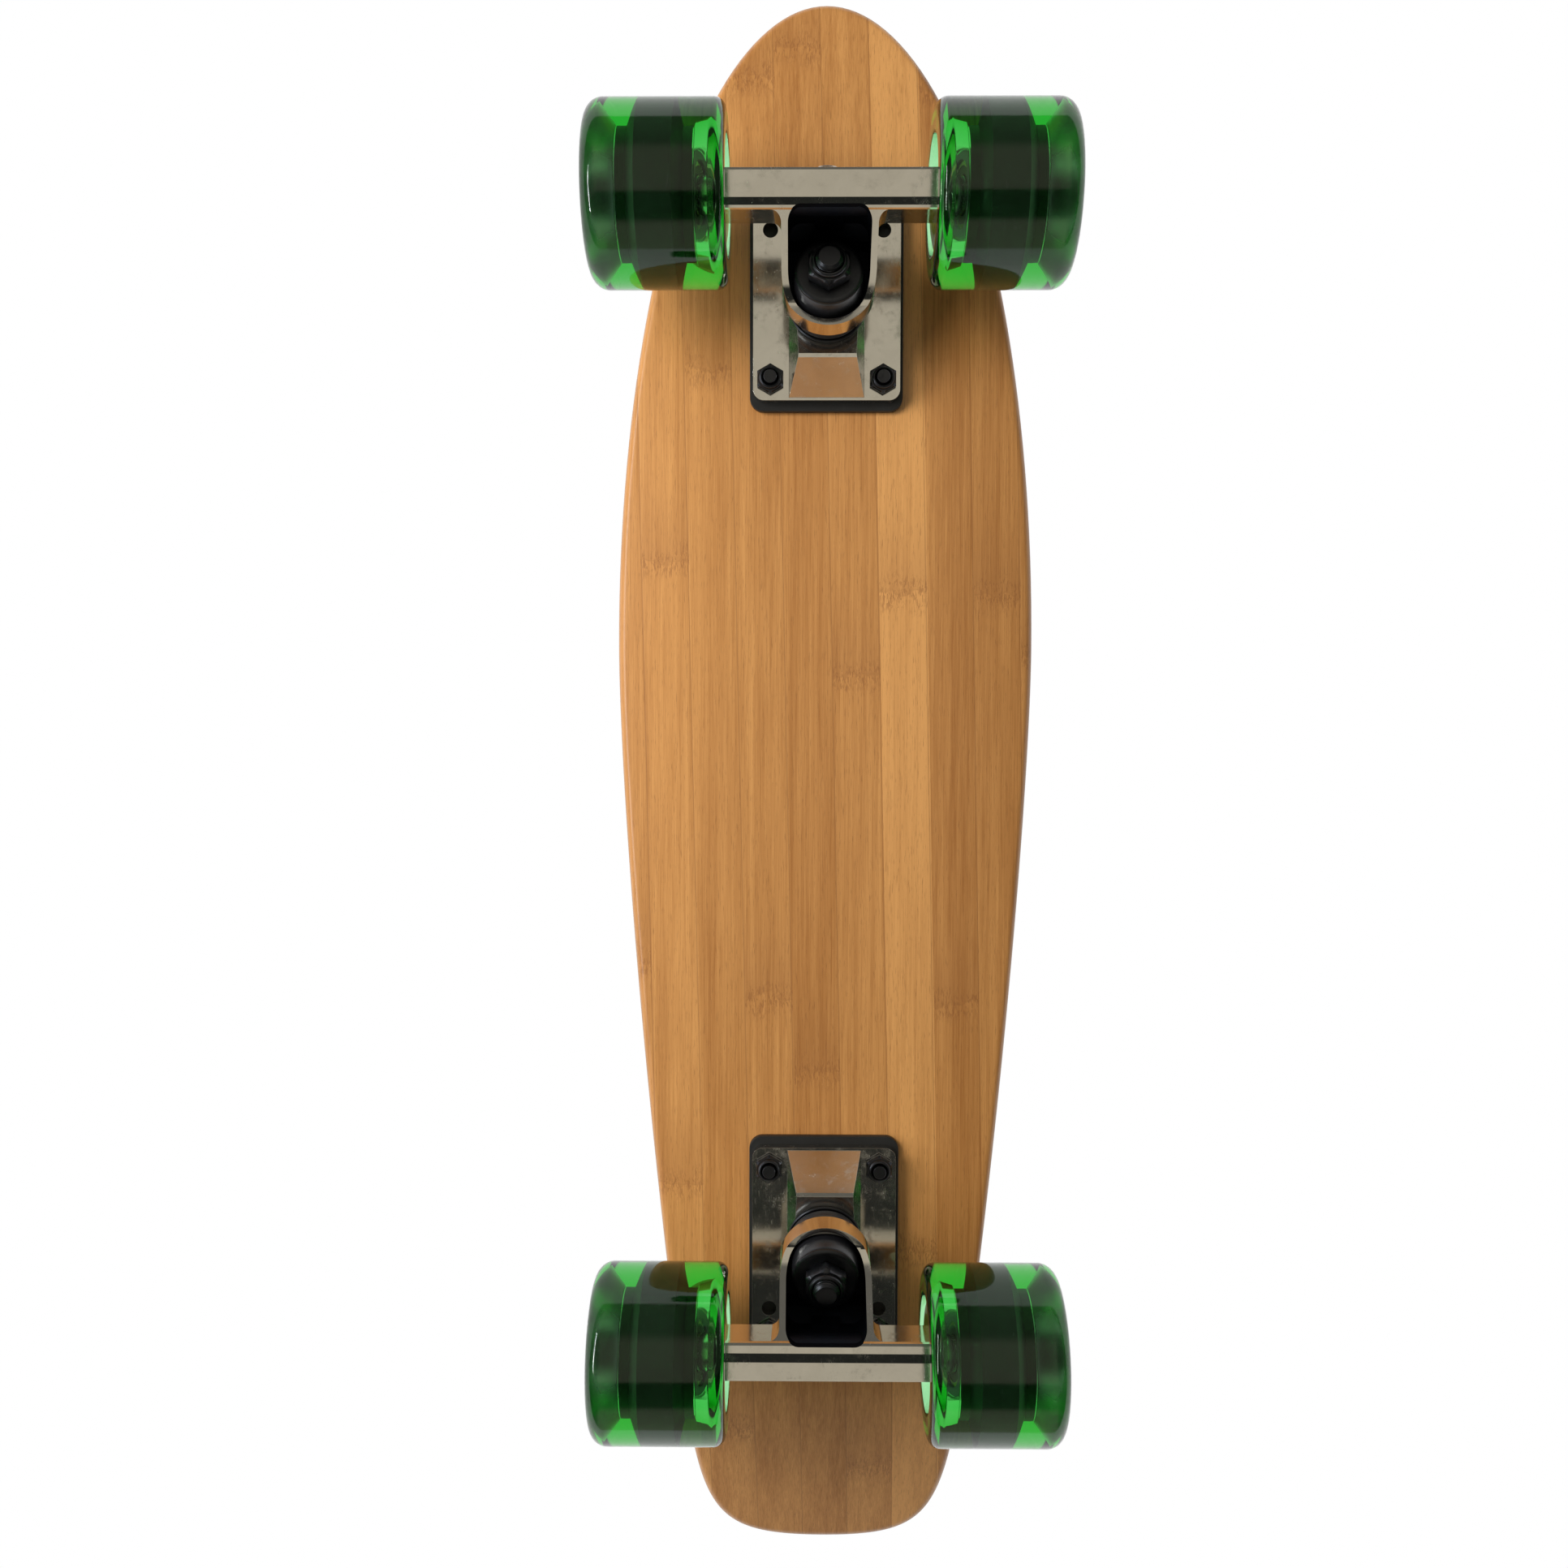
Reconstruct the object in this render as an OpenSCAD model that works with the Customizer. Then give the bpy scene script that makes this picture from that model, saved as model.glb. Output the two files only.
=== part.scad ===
// Mini cruiser skateboard: laminated bamboo deck, two kingpin trucks, four clear wheels.
// +Z is up and the board stands on its wheels. The nose points to -Y, X runs across the
// board, and the origin is on the ground under the middle of the deck. Millimetres.

/* [Deck] */
// Length over nose and tail
deck_len = 598; // [580:2:620]
// Greatest width
deck_w = 157; // [152:1:165]
// Thickness of the laminate
deck_t = 10.5; // [9:0.5:12]
// Length of the elliptical nose, from the tip to the widest place
nose_len = 240; // [220:5:260]
// Width where the tail corners start
tail_w = 100.5; // [96:0.5:108]
// Length of the rounded tail end
tail_end_len = 41.5; // [36:0.5:48]
// How far the edges rise above the flat middle
concave = 5; // [0:0.5:8]
// Rise of the nose tip
nose_rise = 9; // [0:1:20]
// Rise of the tail end
tail_rise = 25; // [10:1:35]
// Thickness of the grip tape
tape_t = 0.8; // [0.6:0.1:1.2]

/* [Trucks] */
// Distance between the two axles
wheelbase = 392.6; // [386:0.2:398]
// How far the middle between the axles lies towards the nose
truck_shift = 9.5; // [6:0.5:12]
// Axle centre below the deck
axle_drop = 56; // [54:0.5:60]
// Thickness of the riser pad
riser_t = 3; // [2:0.5:4]
// Lean of the kingpin towards the board's end
kingpin_lean = 14; // [10:1:18]
// Width of the hanger over its shoulders
hanger_w = 88; // [86:1:90]
// Overall length of the axle
axle_len = 158; // [156:1:159]

/* [Wheels] */
// Diameter of the wheel
wheel_d = 60; // [56:1:64]
// Width of the wheel
wheel_w = 46; // [44:1:46]
// Radius of the wheel's lips
lip_r = 6; // [3:0.5:8]

/* [Hardware] */
// Diameter of the mounting bolts
bolt_d = 4.8; // [4:0.1:5]
// Width across the flats of the mounting nuts
bolt_nut_af = 9.5; // [8:0.5:10]
// Diameter of the kingpin
kingpin_d = 9.5; // [9:0.1:10]
// Diameter of the axle
axle_d = 8; // [7.9:0.05:8]

/* [Hidden] */

$fn = 64;

// Heights: everything hangs from the flat middle of the deck's underside.
wheel_r = wheel_d / 2;
deck_z = wheel_r + axle_drop;

// Bolt rows of a truck, counted outboard from the inner row
row_gap_x = 41.3;
row_short = 53.98;
row_long = 63.5;
axle_out = 49.7;

// Where the deck stops being flat along its length
nose_kick_y = -231;
tail_kick_y = 212;
kick_blend = 25;
flat_half_w = 30;

// Edge rounding of the deck: larger below, smaller above
edge_r_low = 3;
edge_r_top = 2.2;

// Points along the parts of half the outline, and nested rows across it
tip_steps = 9;
nose_steps = 7;
side_steps = 9;
kick_steps = 3;
tail_steps = 12;
row_fractions = [0.86, 0.7, 0.54, 0.38, 0.2];

// How much of its length each end keeps at the spine, so that the rows close in fans
end_keep = 0.25;

// ---- Deck outline -------------------------------------------------------------

widest_y = nose_len - deck_len / 2;
tail_y = deck_len / 2;
corner_y = tail_y - tail_end_len;
half_w = deck_w / 2;
half_tail = tail_w / 2;

// Point on a cubic curve with the four control points p
function cubic(p, t) =
    p[0] * pow(1 - t, 3) + p[1] * 3 * t * pow(1 - t, 2) + p[2] * 3 * t * t * (1 - t) + p[3] * t * t * t;

side_curve = [
    [half_w, widest_y], [half_w, widest_y + 50],
    [half_tail + 18.2, corner_y - 130], [half_tail, corner_y]
];
tail_curve = [
    [half_tail, corner_y], [half_tail - 5.8, corner_y + 0.8 * tail_end_len],
    [0.7 * half_tail, tail_y], [0, tail_y]
];

// Share t of the side curve where it reaches y, found by halving
function share_at(y, low = 0, high = 1, tries = 24) =
    let (mid = (low + high) / 2)
    tries == 0 ? mid
    : cubic(side_curve, mid)[1] < y ? share_at(y, mid, high, tries - 1) : share_at(y, low, mid, tries - 1);

// Right half of the outline from the nose tip to the tail end, with a row at each kick
nose_kick_angle = acos((widest_y - nose_kick_y) / nose_len);
tail_kick_share = share_at(tail_kick_y);
function nose_point(a) = [half_w * sin(a), widest_y - nose_len * cos(a)];
function between(a, b, i, n) = a + (b - a) * i / n;
outline = concat(
    [for (i = [0 : tip_steps]) nose_point(between(0, nose_kick_angle, i, tip_steps))],
    [for (i = [1 : nose_steps]) nose_point(between(nose_kick_angle, 90, i, nose_steps))],
    [for (i = [1 : side_steps]) cubic(side_curve, between(0, tail_kick_share, i, side_steps))],
    [for (i = [1 : kick_steps]) cubic(side_curve, between(tail_kick_share, 1, i, kick_steps))],
    [for (i = [1 : tail_steps]) cubic(tail_curve, i / tail_steps)]
);
last = len(outline) - 1;

function mirrored(p) = [-p[0], p[1]];
function before(i) = i == 0 ? mirrored(outline[1]) : outline[i - 1];
function after(i) = i == last ? mirrored(outline[last - 1]) : outline[i + 1];

// Outline point i moved inwards by d, square to the outline
function inset(i, d) =
    let (along = after(i) - before(i), size = norm(along))
    outline[i] - d * [along[1], -along[0]] / size;

// Closed loop of the inset outline, narrowed towards the spine by fraction s. Rows run
// straight across between the two kicks, and close in at both ends.
function drawn_in(y, s) =
    let (keep = end_keep + (1 - end_keep) * s, past = y - tail_kick_y, short = nose_kick_y - y)
    past > 0 ? tail_kick_y + past * keep : short > 0 ? nose_kick_y - short * keep : y;
function loop_xy(d, s) = [
    for (k = [0 : 2 * last - 1])
        let (i = k <= last ? k : 2 * last - k, p = inset(i, d), side = k <= last ? 1 : -1)
        [side * s * p[0], drawn_in(p[1], s)]
];
function spine_xy(d) = [for (i = [0 : last]) [0, drawn_in(inset(i, d)[1], 0)]];

// Rise of the deck above its flat middle
function kick(past, run, rise) =
    past <= 0 ? 0 : rise * (run + kick_blend) / (run * run) * past * past / (past + kick_blend);
function rise_at(p) =
    concave * pow(max(0, abs(p[0]) - flat_half_w) / (half_w - flat_half_w), 2)
    + kick(nose_kick_y - p[1], nose_kick_y + deck_len / 2, nose_rise)
    + kick(p[1] - tail_kick_y, deck_len / 2 - tail_kick_y, tail_rise);
function lifted(flat_pts, h) = [for (p = flat_pts) [p[0], p[1], deck_z + rise_at(p) + h]];

// Faces between loop a and loop b of n points each, numbered by their place in the list.
// Below, each square is split the other way, so that the tape's underside fits the deck's top.
function band(a, b, n, below) = [
    for (k = [0 : n - 1])
        let (m = (k + 1) % n, p = a * n + k, q = b * n + k, r = b * n + m, s = a * n + m)
        each below ? [[p, q, s], [q, r, s]] : [[p, q, r], [p, r, s]]
];
// Faces between a loop and the spine that starts at point s0
function spine_band(a, s0, n, up) = [
    for (k = [0 : n - 1])
        let (m = (k + 1) % n, si = s0 + min(k, n - k), sj = s0 + min(m, n - m), e = a * n + k, f = a * n + m)
        each up ? [[e, si, sj], [e, sj, f]] : [[e, sj, si], [e, f, sj]]
];

// Solid of nested loops: a spine and rows below, the edge, then rows and a spine above.
// low and top are the edge's [inset, height] pairs from the underside to the upper side.
module shell_board(edge) {
    n = 2 * last;
    low = edge[0];
    top = edge[len(edge) - 1];
    loops = concat(
        [for (k = [len(row_fractions) - 1 : -1 : 0]) lifted(loop_xy(low[0], row_fractions[k]), low[1])],
        [for (e = edge) lifted(loop_xy(e[0], 1), e[1])],
        [for (s = row_fractions) lifted(loop_xy(top[0], s), top[1])]
    );
    count = len(loops);
    low_spine = count * n;
    points = concat(
        [for (l = loops) each l],
        lifted(spine_xy(low[0]), low[1]),
        lifted(spine_xy(top[0]), top[1])
    );
    faces = concat(
        spine_band(0, low_spine, n, false),
        [for (a = [0 : count - 2]) each band(a, a + 1, n, a < len(row_fractions))],
        spine_band(count - 1, low_spine + last + 1, n, true)
    );
    polyhedron(points = points, faces = faces, convexity = 4);
}

// ---- Places ---------------------------------------------------------------------

inner_row = wheelbase / 2 - axle_out;

// Truck frame: origin under the deck at the inner bolt row, -Y outboard, -Z to the road
module front() {
    translate([0, -truck_shift - inner_row, deck_z]) children();
}
module rear() {
    translate([0, -truck_shift + inner_row, deck_z]) rotate([0, 0, 180]) children();
}

// Kingpin frame inside the truck frame: origin on the bushing seat, +Z to the road, +Y outboard
kingpin_out = 22.2;
seat_h = 21;
module on_kingpin() {
    translate([0, -kingpin_out, -seat_h]) rotate([180 - kingpin_lean, 0, 0]) children();
}
function kingpin_point(s) = [-kingpin_out - s * sin(kingpin_lean), seat_h + s * cos(kingpin_lean)];

// Stack along the kingpin, from the seat towards the road
seat_washer_t = 1.2;
board_bushing_t = 9.5;
ring_floor_t = 4;
ring_wall_h = 3.3;
road_bushing_t = 9;
cup_washer_t = 1.5;
kingpin_nut_t = 7;
kingpin_nut_af = 14;
ring_s = seat_washer_t + board_bushing_t;
ring_top_s = ring_s + ring_floor_t;
road_end_s = ring_top_s + road_bushing_t;
nut_s = road_end_s + cup_washer_t;
kingpin_end_s = nut_s + kingpin_nut_t + 2.3;
kingpin_head_s = -16;
kingpin_head_t = 5.5;

// Pivot frame inside the truck frame: origin at the ball, +Z along the pivot axis to the ring
ball_out = 58;
ball_h = 14;
ball_r = 6;
cup_r = 8;
cup_depth = 8;
cup_rim = 2;
ring_mid = kingpin_point(ring_s + ring_floor_t / 2);
pivot_slope = atan((ring_mid[1] - ball_h) / (ball_out + ring_mid[0]));
module on_pivot() {
    translate([0, -ball_out, -ball_h]) rotate([270 - pivot_slope, 0, 0]) children();
}

// Axle frame inside the truck frame: +Z along the axle, to the truck's +X
module on_axle() {
    translate([0, -axle_out, -axle_drop]) rotate([0, 90, 0]) children();
}

// Extrudes a [y, depth below deck] outline across X, w wide
module across(w, outline_yh) {
    translate([-w / 2, 0, 0]) rotate([90, 0, 90])
        linear_extrude(height = w) polygon([for (p = outline_yh) [p[0], -p[1]]]);
}

// Rounded rectangle made of squares and discs, so that its sides and corners stay true
module plate_shape(x, y, r) {
    square([x - 2 * r, y], center = true);
    square([x, y - 2 * r], center = true);
    for (sx = [-1, 1])
        for (sy = [-1, 1])
            translate([sx * (x / 2 - r), sy * (y / 2 - r)]) circle(r);
}

module hex_prism(af, h) {
    cylinder(d = af / cos(30), h = h, $fn = 6);
}

module tube(r_out, r_in, h) {
    difference() {
        cylinder(r = r_out, h = h);
        translate([0, 0, -1]) cylinder(r = r_in, h = h + 2);
    }
}

module at_bolts(rows) {
    for (y = rows)
        for (sx = [-1, 1])
            translate([sx * row_gap_x / 2, -y, 0]) children();
}
used_rows = [0, row_long];
all_rows = [0, row_short, row_long];
bolt_hole_r = 2.75;

// ---- Deck and grip tape ---------------------------------------------------------

head_r = 4.75;
head_t = 2.8;
board_top = deck_t + tape_t;

module bolt_clearance() {
    at_bolts(used_rows) {
        translate([0, 0, -1]) cylinder(r = bolt_hole_r, h = board_top + 2);
        translate([0, 0, board_top - head_t - 0.2])
            cylinder(r1 = bolt_hole_r, r2 = head_r + 0.25, h = head_t);
        translate([0, 0, board_top - 0.2]) cylinder(r = head_r + 0.25, h = 2);
    }
}

module deck() {
    color("#c8904f") difference() {
        shell_board([
            [edge_r_low, 0], [edge_r_low * 0.29, edge_r_low * 0.29], [0, edge_r_low],
            [0, deck_t - edge_r_top], [edge_r_top * 0.29, deck_t - edge_r_top * 0.29], [edge_r_top, deck_t]
        ]);
        front() bolt_clearance();
        rear() bolt_clearance();
    }
}

module grip_tape() {
    color("#1c1c1e") difference() {
        shell_board([[edge_r_top, deck_t], [edge_r_top, deck_t + tape_t]]);
        front() bolt_clearance();
        rear() bolt_clearance();
    }
}

module mounting_bolts() {
    shank_end = riser_t + plate_t + bolt_nut_t + 1.4;
    color("#202022") at_bolts(used_rows) difference() {
        union() {
            translate([0, 0, -shank_end]) cylinder(d = bolt_d, h = shank_end + board_top - head_t);
            translate([0, 0, board_top - head_t - 0.2]) cylinder(r1 = bolt_d / 2, r2 = head_r, h = head_t);
        }
        translate([0, 0, board_top - 2]) hex_prism(3, 3);
    }
}

bolt_nut_t = 4.6;
module mounting_nuts() {
    color("#1b1b1d") at_bolts(used_rows) translate([0, 0, -riser_t - plate_t - bolt_nut_t]) difference() {
        union() {
            translate([0, 0, 1.3]) hex_prism(bolt_nut_af, bolt_nut_t - 1.3);
            cylinder(r = bolt_nut_af * 0.42, h = 2);
        }
        translate([0, 0, -1]) cylinder(d = bolt_d, h = bolt_nut_t + 2);
    }
}

// ---- Riser pad and baseplate ------------------------------------------------------

plate_x = 54;
plate_end = 7.5;
plate_y = row_long + 2 * plate_end;
plate_t = 5;
plate_corner = 4;
riser_margin_x = 1.3;
riser_margin_y = 3;
plate_mid_y = -row_long / 2;

module riser_pad() {
    color("#151515") translate([0, 0, -riser_t]) difference() {
        translate([0, plate_mid_y, 0]) linear_extrude(height = riser_t)
            plate_shape(plate_x + 2 * riser_margin_x, plate_y + 2 * riser_margin_y, plate_corner + 1);
        at_bolts(used_rows) translate([0, 0, -1]) cylinder(r = bolt_hole_r, h = riser_t + 2);
    }
}

// Raised spine of the baseplate: a steep ramp at the inner end, the bushing seat, the pivot boss
spine_top_half = 10.2;
spine_low_half = 13.8;
spine_h = seat_h + 3.8;
seat_slope = tan(kingpin_lean);
function seat_depth(y) = seat_h + (y + kingpin_out) * seat_slope;
ramp_foot_y = plate_end - 0.9;
ramp_top_y = -5;
seat_back_y = -37;

module baseplate() {
    plate_face = riser_t + plate_t;
    color("#b9b6ae") difference() {
        union() {
            translate([0, plate_mid_y, -plate_face]) linear_extrude(height = plate_t)
                plate_shape(plate_x, plate_y, plate_corner);
            intersection() {
                across(plate_x, [
                    [ramp_foot_y, riser_t + 1], [ramp_foot_y, plate_face],
                    [ramp_top_y + 0.8, seat_depth(ramp_top_y) - 0.9],
                    [ramp_top_y - 0.4, seat_depth(ramp_top_y - 0.4)],
                    [seat_back_y, seat_depth(seat_back_y)], [seat_back_y - 4, plate_face + 3],
                    [-row_long, plate_face + 3], [-row_long - plate_end + 1, plate_face],
                    [-row_long, riser_t + 1]
                ]);
                translate([0, plate_end, 0]) rotate([90, 0, 0]) linear_extrude(height = plate_y) polygon([
                    [-spine_low_half, -riser_t], [spine_low_half, -riser_t], [spine_low_half, -plate_face],
                    [spine_top_half, -spine_h - 1], [-spine_top_half, -spine_h - 1],
                    [-spine_low_half, -plate_face]
                ]);
            }
            intersection() {
                on_pivot() translate([0, 0, -14]) cylinder(r = 9.2, h = 16);
                translate([0, -ball_out, -riser_t - 20]) cube([30, 40, 40], center = true);
            }
        }
        at_bolts(all_rows) translate([0, 0, -plate_face - 1]) cylinder(r = bolt_hole_r, h = plate_t + 2);
        on_kingpin() translate([0, 0, -30]) cylinder(r = kingpin_d / 2 + 0.1, h = 40);
        on_kingpin() translate([0, 0, -30]) cylinder(r = 8, h = 30 + kingpin_head_s + kingpin_head_t);
        on_pivot() translate([0, 0, -cup_depth]) cylinder(r = cup_r, h = 20);
    }
}

// ---- Pivot cup and kingpin ----------------------------------------------------------

ball_play = 0.3;
pin_play = 0.2;
pin_head_r = 7.5;
pin_chamfer = 0.8;
seat_washer_r = 13.5;
cup_washer_r = 11.8;

module pivot_cup() {
    color("#17181a") on_pivot() difference() {
        translate([0, 0, -cup_depth]) cylinder(r = cup_r, h = cup_depth + cup_rim);
        sphere(r = ball_r + ball_play);
        cylinder(r = ball_r + ball_play, h = cup_rim + 3);
    }
}

module kingpin() {
    color("#1d1d1f") on_kingpin() {
        translate([0, 0, kingpin_head_s]) cylinder(r = pin_head_r, h = kingpin_head_t);
        translate([0, 0, kingpin_head_s])
            cylinder(d = kingpin_d, h = kingpin_end_s - kingpin_head_s - pin_chamfer);
        translate([0, 0, kingpin_end_s - pin_chamfer])
            cylinder(d1 = kingpin_d, d2 = kingpin_d - 2 * pin_chamfer, h = pin_chamfer);
    }
}

module seat_washer() {
    color("#131314") on_kingpin() tube(seat_washer_r, kingpin_d / 2 + pin_play, seat_washer_t);
}

module board_bushing() {
    color("#19191b") on_kingpin() translate([0, 0, seat_washer_t]) difference() {
        rotate_extrude() polygon([
            [4, 0], [12.4, 0], [13, 1.2], [13, board_bushing_t - 2.2],
            [12.2, board_bushing_t], [4, board_bushing_t]
        ]);
        translate([0, 0, -1]) cylinder(r = kingpin_d / 2 + pin_play, h = board_bushing_t + 2);
    }
}

module road_bushing() {
    color("#19191b") on_kingpin() translate([0, 0, ring_top_s]) difference() {
        rotate_extrude() polygon([
            [4, 0], [12.3, 0], [12.6, 1], [12.2, 4], [11.2, road_bushing_t], [4, road_bushing_t]
        ]);
        translate([0, 0, -1]) cylinder(r = kingpin_d / 2 + pin_play, h = road_bushing_t + 2);
    }
}

module cup_washer() {
    color("#161617") on_kingpin() translate([0, 0, road_end_s])
        tube(cup_washer_r, kingpin_d / 2 + pin_play, cup_washer_t);
}

module kingpin_nut() {
    color("#1b1b1d") on_kingpin() translate([0, 0, nut_s]) difference() {
        union() {
            hex_prism(kingpin_nut_af, kingpin_nut_t - collar_t);
            cylinder(r = kingpin_nut_af * 0.457, h = kingpin_nut_t);
        }
        translate([0, 0, -1]) cylinder(d = kingpin_d, h = kingpin_nut_t + 2);
    }
}

// ---- Hanger -----------------------------------------------------------------------

bar_y = 13;
bar_top_h = axle_drop - 9;
bar_low_h = axle_drop + 9;
bar_in_y = -axle_out + bar_y / 2;
bar_out_y = -axle_out - bar_y / 2;
bar_half = 38;
yoke_half = 16.2;
yoke_wall = 2.2;
fillet_r = 3.2;
cavity_end_y = bar_in_y - 1.4;
cavity_corner = 4.5;
stem_r = 5;
stem_len = 16;
rib_half = 5;
shoulder_r = 6.4;
kingpin_room_r = 8;

// Side outline of the bar: a plain back, and towards the road a rounded outboard edge, a
// flat that leans inboard, a narrow strip and a broad chamfer down to the inboard wall
bar_outline = [
    [bar_in_y, bar_top_h + 1], [bar_in_y - 1, bar_top_h], [bar_out_y + 1.5, bar_top_h],
    [bar_out_y, bar_top_h + 1.5], [bar_out_y, bar_low_h - 1.3], [bar_out_y + 0.4, bar_low_h - 0.4],
    [bar_out_y + 1.3, bar_low_h], [bar_out_y + 6.6, bar_low_h - 0.9], [bar_out_y + 9.8, bar_low_h - 0.8],
    [bar_out_y + 12, bar_low_h - 1.9], [bar_out_y + 12.7, bar_low_h - 2.5], [bar_in_y, bar_low_h - 3.3]
];

// Maps a point of the kingpin frame's side plane, [outboard, along], to [y, depth]
function from_kingpin(p) =
    [-kingpin_out - p[0] * cos(kingpin_lean) - p[1] * sin(kingpin_lean),
     seat_h + p[1] * cos(kingpin_lean) - p[0] * sin(kingpin_lean)];

ring_rim_s = ring_top_s + ring_wall_h;
rim_end = [bar_in_y - 1.2, bar_low_h - 2.2];
rim_curve = [
    from_kingpin([-9, ring_rim_s]), from_kingpin([-2, ring_rim_s + 2.5]),
    from_kingpin([5, ring_rim_s + 16.5]), rim_end
];
rim_points = [for (i = [0 : 8]) cubic(rim_curve, i / 8)];

module yoke_plan(half, reach) {
    circle(half);
    translate([-half, 0]) square([2 * half, reach]);
}

// Rounds the inner corner between an arm of the yoke and the bar
module arm_fillet() {
    translate([yoke_half, bar_in_y]) difference() {
        translate([-1, -1]) square(fillet_r + 1);
        translate([fillet_r, fillet_r]) circle(fillet_r);
    }
}

module yoke_body() {
    intersection() {
        union() {
            on_kingpin() translate([0, 0, ring_s]) linear_extrude(height = 50) yoke_plan(yoke_half, 40);
            translate([0, 0, 1 - bar_low_h]) linear_extrude(height = bar_low_h - bar_top_h - 2) {
                arm_fillet();
                mirror([1, 0]) arm_fillet();
            }
        }
        across(60, concat(
            [from_kingpin([-20, ring_s - 1]), from_kingpin([-20, ring_rim_s])], rim_points,
            [[bar_in_y - 6, bar_low_h - 3], [bar_in_y - 6, bar_top_h + 2], from_kingpin([19, 24]),
             from_kingpin([15.5, ring_s]), from_kingpin([15, ring_s - 1])]
        ));
    }
}

module yoke_cavity() {
    intersection() {
        on_kingpin() translate([0, 0, ring_top_s]) linear_extrude(height = 60)
            yoke_plan(yoke_half - yoke_wall, 40);
        translate([0, cavity_end_y + 40, -bar_low_h - 15]) linear_extrude(height = 80)
            plate_shape(2 * (yoke_half - yoke_wall), 80, cavity_corner);
        across(60, [
            from_kingpin([-24, ring_top_s - 1]), from_kingpin([-24, 60]), [cavity_end_y - 1, bar_low_h + 15],
            [cavity_end_y - 1, bar_top_h - 2], from_kingpin([13.6, ring_top_s + 6]),
            from_kingpin([13, ring_top_s - 1])
        ]);
    }
}

module hanger() {
    color("#c3c0b8") difference() {
        union() {
            difference() {
                union() {
                    yoke_body();
                    across(2 * bar_half, bar_outline);
                }
                yoke_cavity();
                on_kingpin() cylinder(r = kingpin_room_r, h = 60);
            }
            on_axle() translate([0, 0, -hanger_w / 2]) cylinder(r = shoulder_r, h = hanger_w);
            on_pivot() cylinder(r = stem_r, h = stem_len);
            on_pivot() sphere(r = ball_r);
            across(2 * rib_half, [
                from_kingpin([15, ring_s + 0.5]), from_kingpin([15, ring_s + 8]),
                [bar_in_y - 2, bar_top_h + 3], [bar_out_y + 2, bar_top_h + 3],
                [bar_out_y + 2, bar_top_h - 6], [-50.5, 24.5], [-48.5, 19], [-44.5, 20]
            ]);
        }
        on_axle() translate([0, 0, -hanger_w]) cylinder(d = axle_d, h = 2 * hanger_w);
    }
}

// ---- Axle and what it carries -----------------------------------------------------

axle_end = axle_len / 2;
shoulder = hanger_w / 2;
washer_t = 1;
bearing_w = 7;
spacer_len = 10;
inner_bearing = shoulder + washer_t;
outer_bearing = inner_bearing + bearing_w + spacer_len;
wheel_mid = inner_bearing + bearing_w + spacer_len / 2;
nut_start = outer_bearing + bearing_w + washer_t;
axle_nut_t = 6.5;
axle_nut_af = 12.7;
axle_chamfer = 1;
washer_r = 6;
spacer_r = 5.6;

// Height of the round collar over a nut's locking ring
collar_t = 1.8;

module both_ends() {
    children();
    mirror([0, 0, 1]) children();
}

module axle() {
    color("#a9a9a6") on_axle() {
        translate([0, 0, axle_chamfer - axle_end]) cylinder(d = axle_d, h = 2 * (axle_end - axle_chamfer));
        both_ends() translate([0, 0, axle_end - axle_chamfer])
            cylinder(d1 = axle_d, d2 = axle_d - 2 * axle_chamfer, h = axle_chamfer);
    }
}

module speed_washers() {
    color("#9c9a94") on_axle() both_ends() {
        translate([0, 0, shoulder]) tube(washer_r, axle_d / 2, washer_t);
        translate([0, 0, nut_start - washer_t]) tube(washer_r, axle_d / 2, washer_t);
    }
}

module bearing_spacers() {
    color("#8f8f8c") on_axle() both_ends() translate([0, 0, inner_bearing + bearing_w])
        tube(spacer_r, axle_d / 2, spacer_len);
}

module axle_nuts() {
    color("#1b1b1d") on_axle() both_ends() translate([0, 0, nut_start]) difference() {
        union() {
            hex_prism(axle_nut_af, axle_nut_t - collar_t);
            cylinder(r = axle_nut_af * 0.44, h = axle_nut_t);
        }
        translate([0, 0, -1]) cylinder(d = axle_d, h = axle_nut_t + 2);
    }
}

// ---- Bearings ----------------------------------------------------------------------

bearing_r = 11;
ball_pitch_r = 7.8;
bearing_ball_r = 1.9;
race_r = 2.02;
outer_ring_r = 9.4;
inner_ring_r = 6.2;
ball_count = 7;
shield_t = 0.4;
shield_inset = 0.3;
cage_r_out = 8.4;
cage_r_in = 7.2;
cage_t = 0.5;

module race_groove() {
    rotate_extrude() translate([ball_pitch_r, 0]) circle(race_r);
}

module ring(r_out, r_in) {
    difference() {
        translate([0, 0, -bearing_w / 2]) tube(r_out, r_in, bearing_w);
        race_groove();
    }
}

module bearing_inner_rings() {
    color("#a8a8a6") on_axle() both_ends()
        for (start = [inner_bearing, outer_bearing])
            translate([0, 0, start + bearing_w / 2]) ring(inner_ring_r, axle_d / 2);
}

// ---- Wheels, in a frame with the origin at the wheel's middle and +Z outwards --------

bearing_mid = spacer_len / 2 + bearing_w / 2;
half_wheel = wheel_w / 2;
barrel_r = 14.4;
barrel_half = 12.7;
flange_root_half = 9.2;
flange_tip_half = 6;
flange_r = 21.5;
inner_lip_r = 4;
lip_steps = 8;

// Lip of radius r on the wheel's face towards sign, from the face to the tread
function lip(r, sign) = [
    for (i = [0 : lip_steps])
        let (a = 90 * i / lip_steps)
        [wheel_r - r + r * sin(a), sign * (half_wheel - r + r * cos(a))]
];
function backwards(list) = [for (k = [len(list) - 1 : -1 : 0]) list[k]];
function other_side(list) = [for (p = backwards(list)) [p[0], -p[1]]];

// The core's outside, from the flange's tip to the barrel's end
core_side = [[flange_r, flange_tip_half], [barrel_r, flange_root_half], [barrel_r, barrel_half]];

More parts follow.
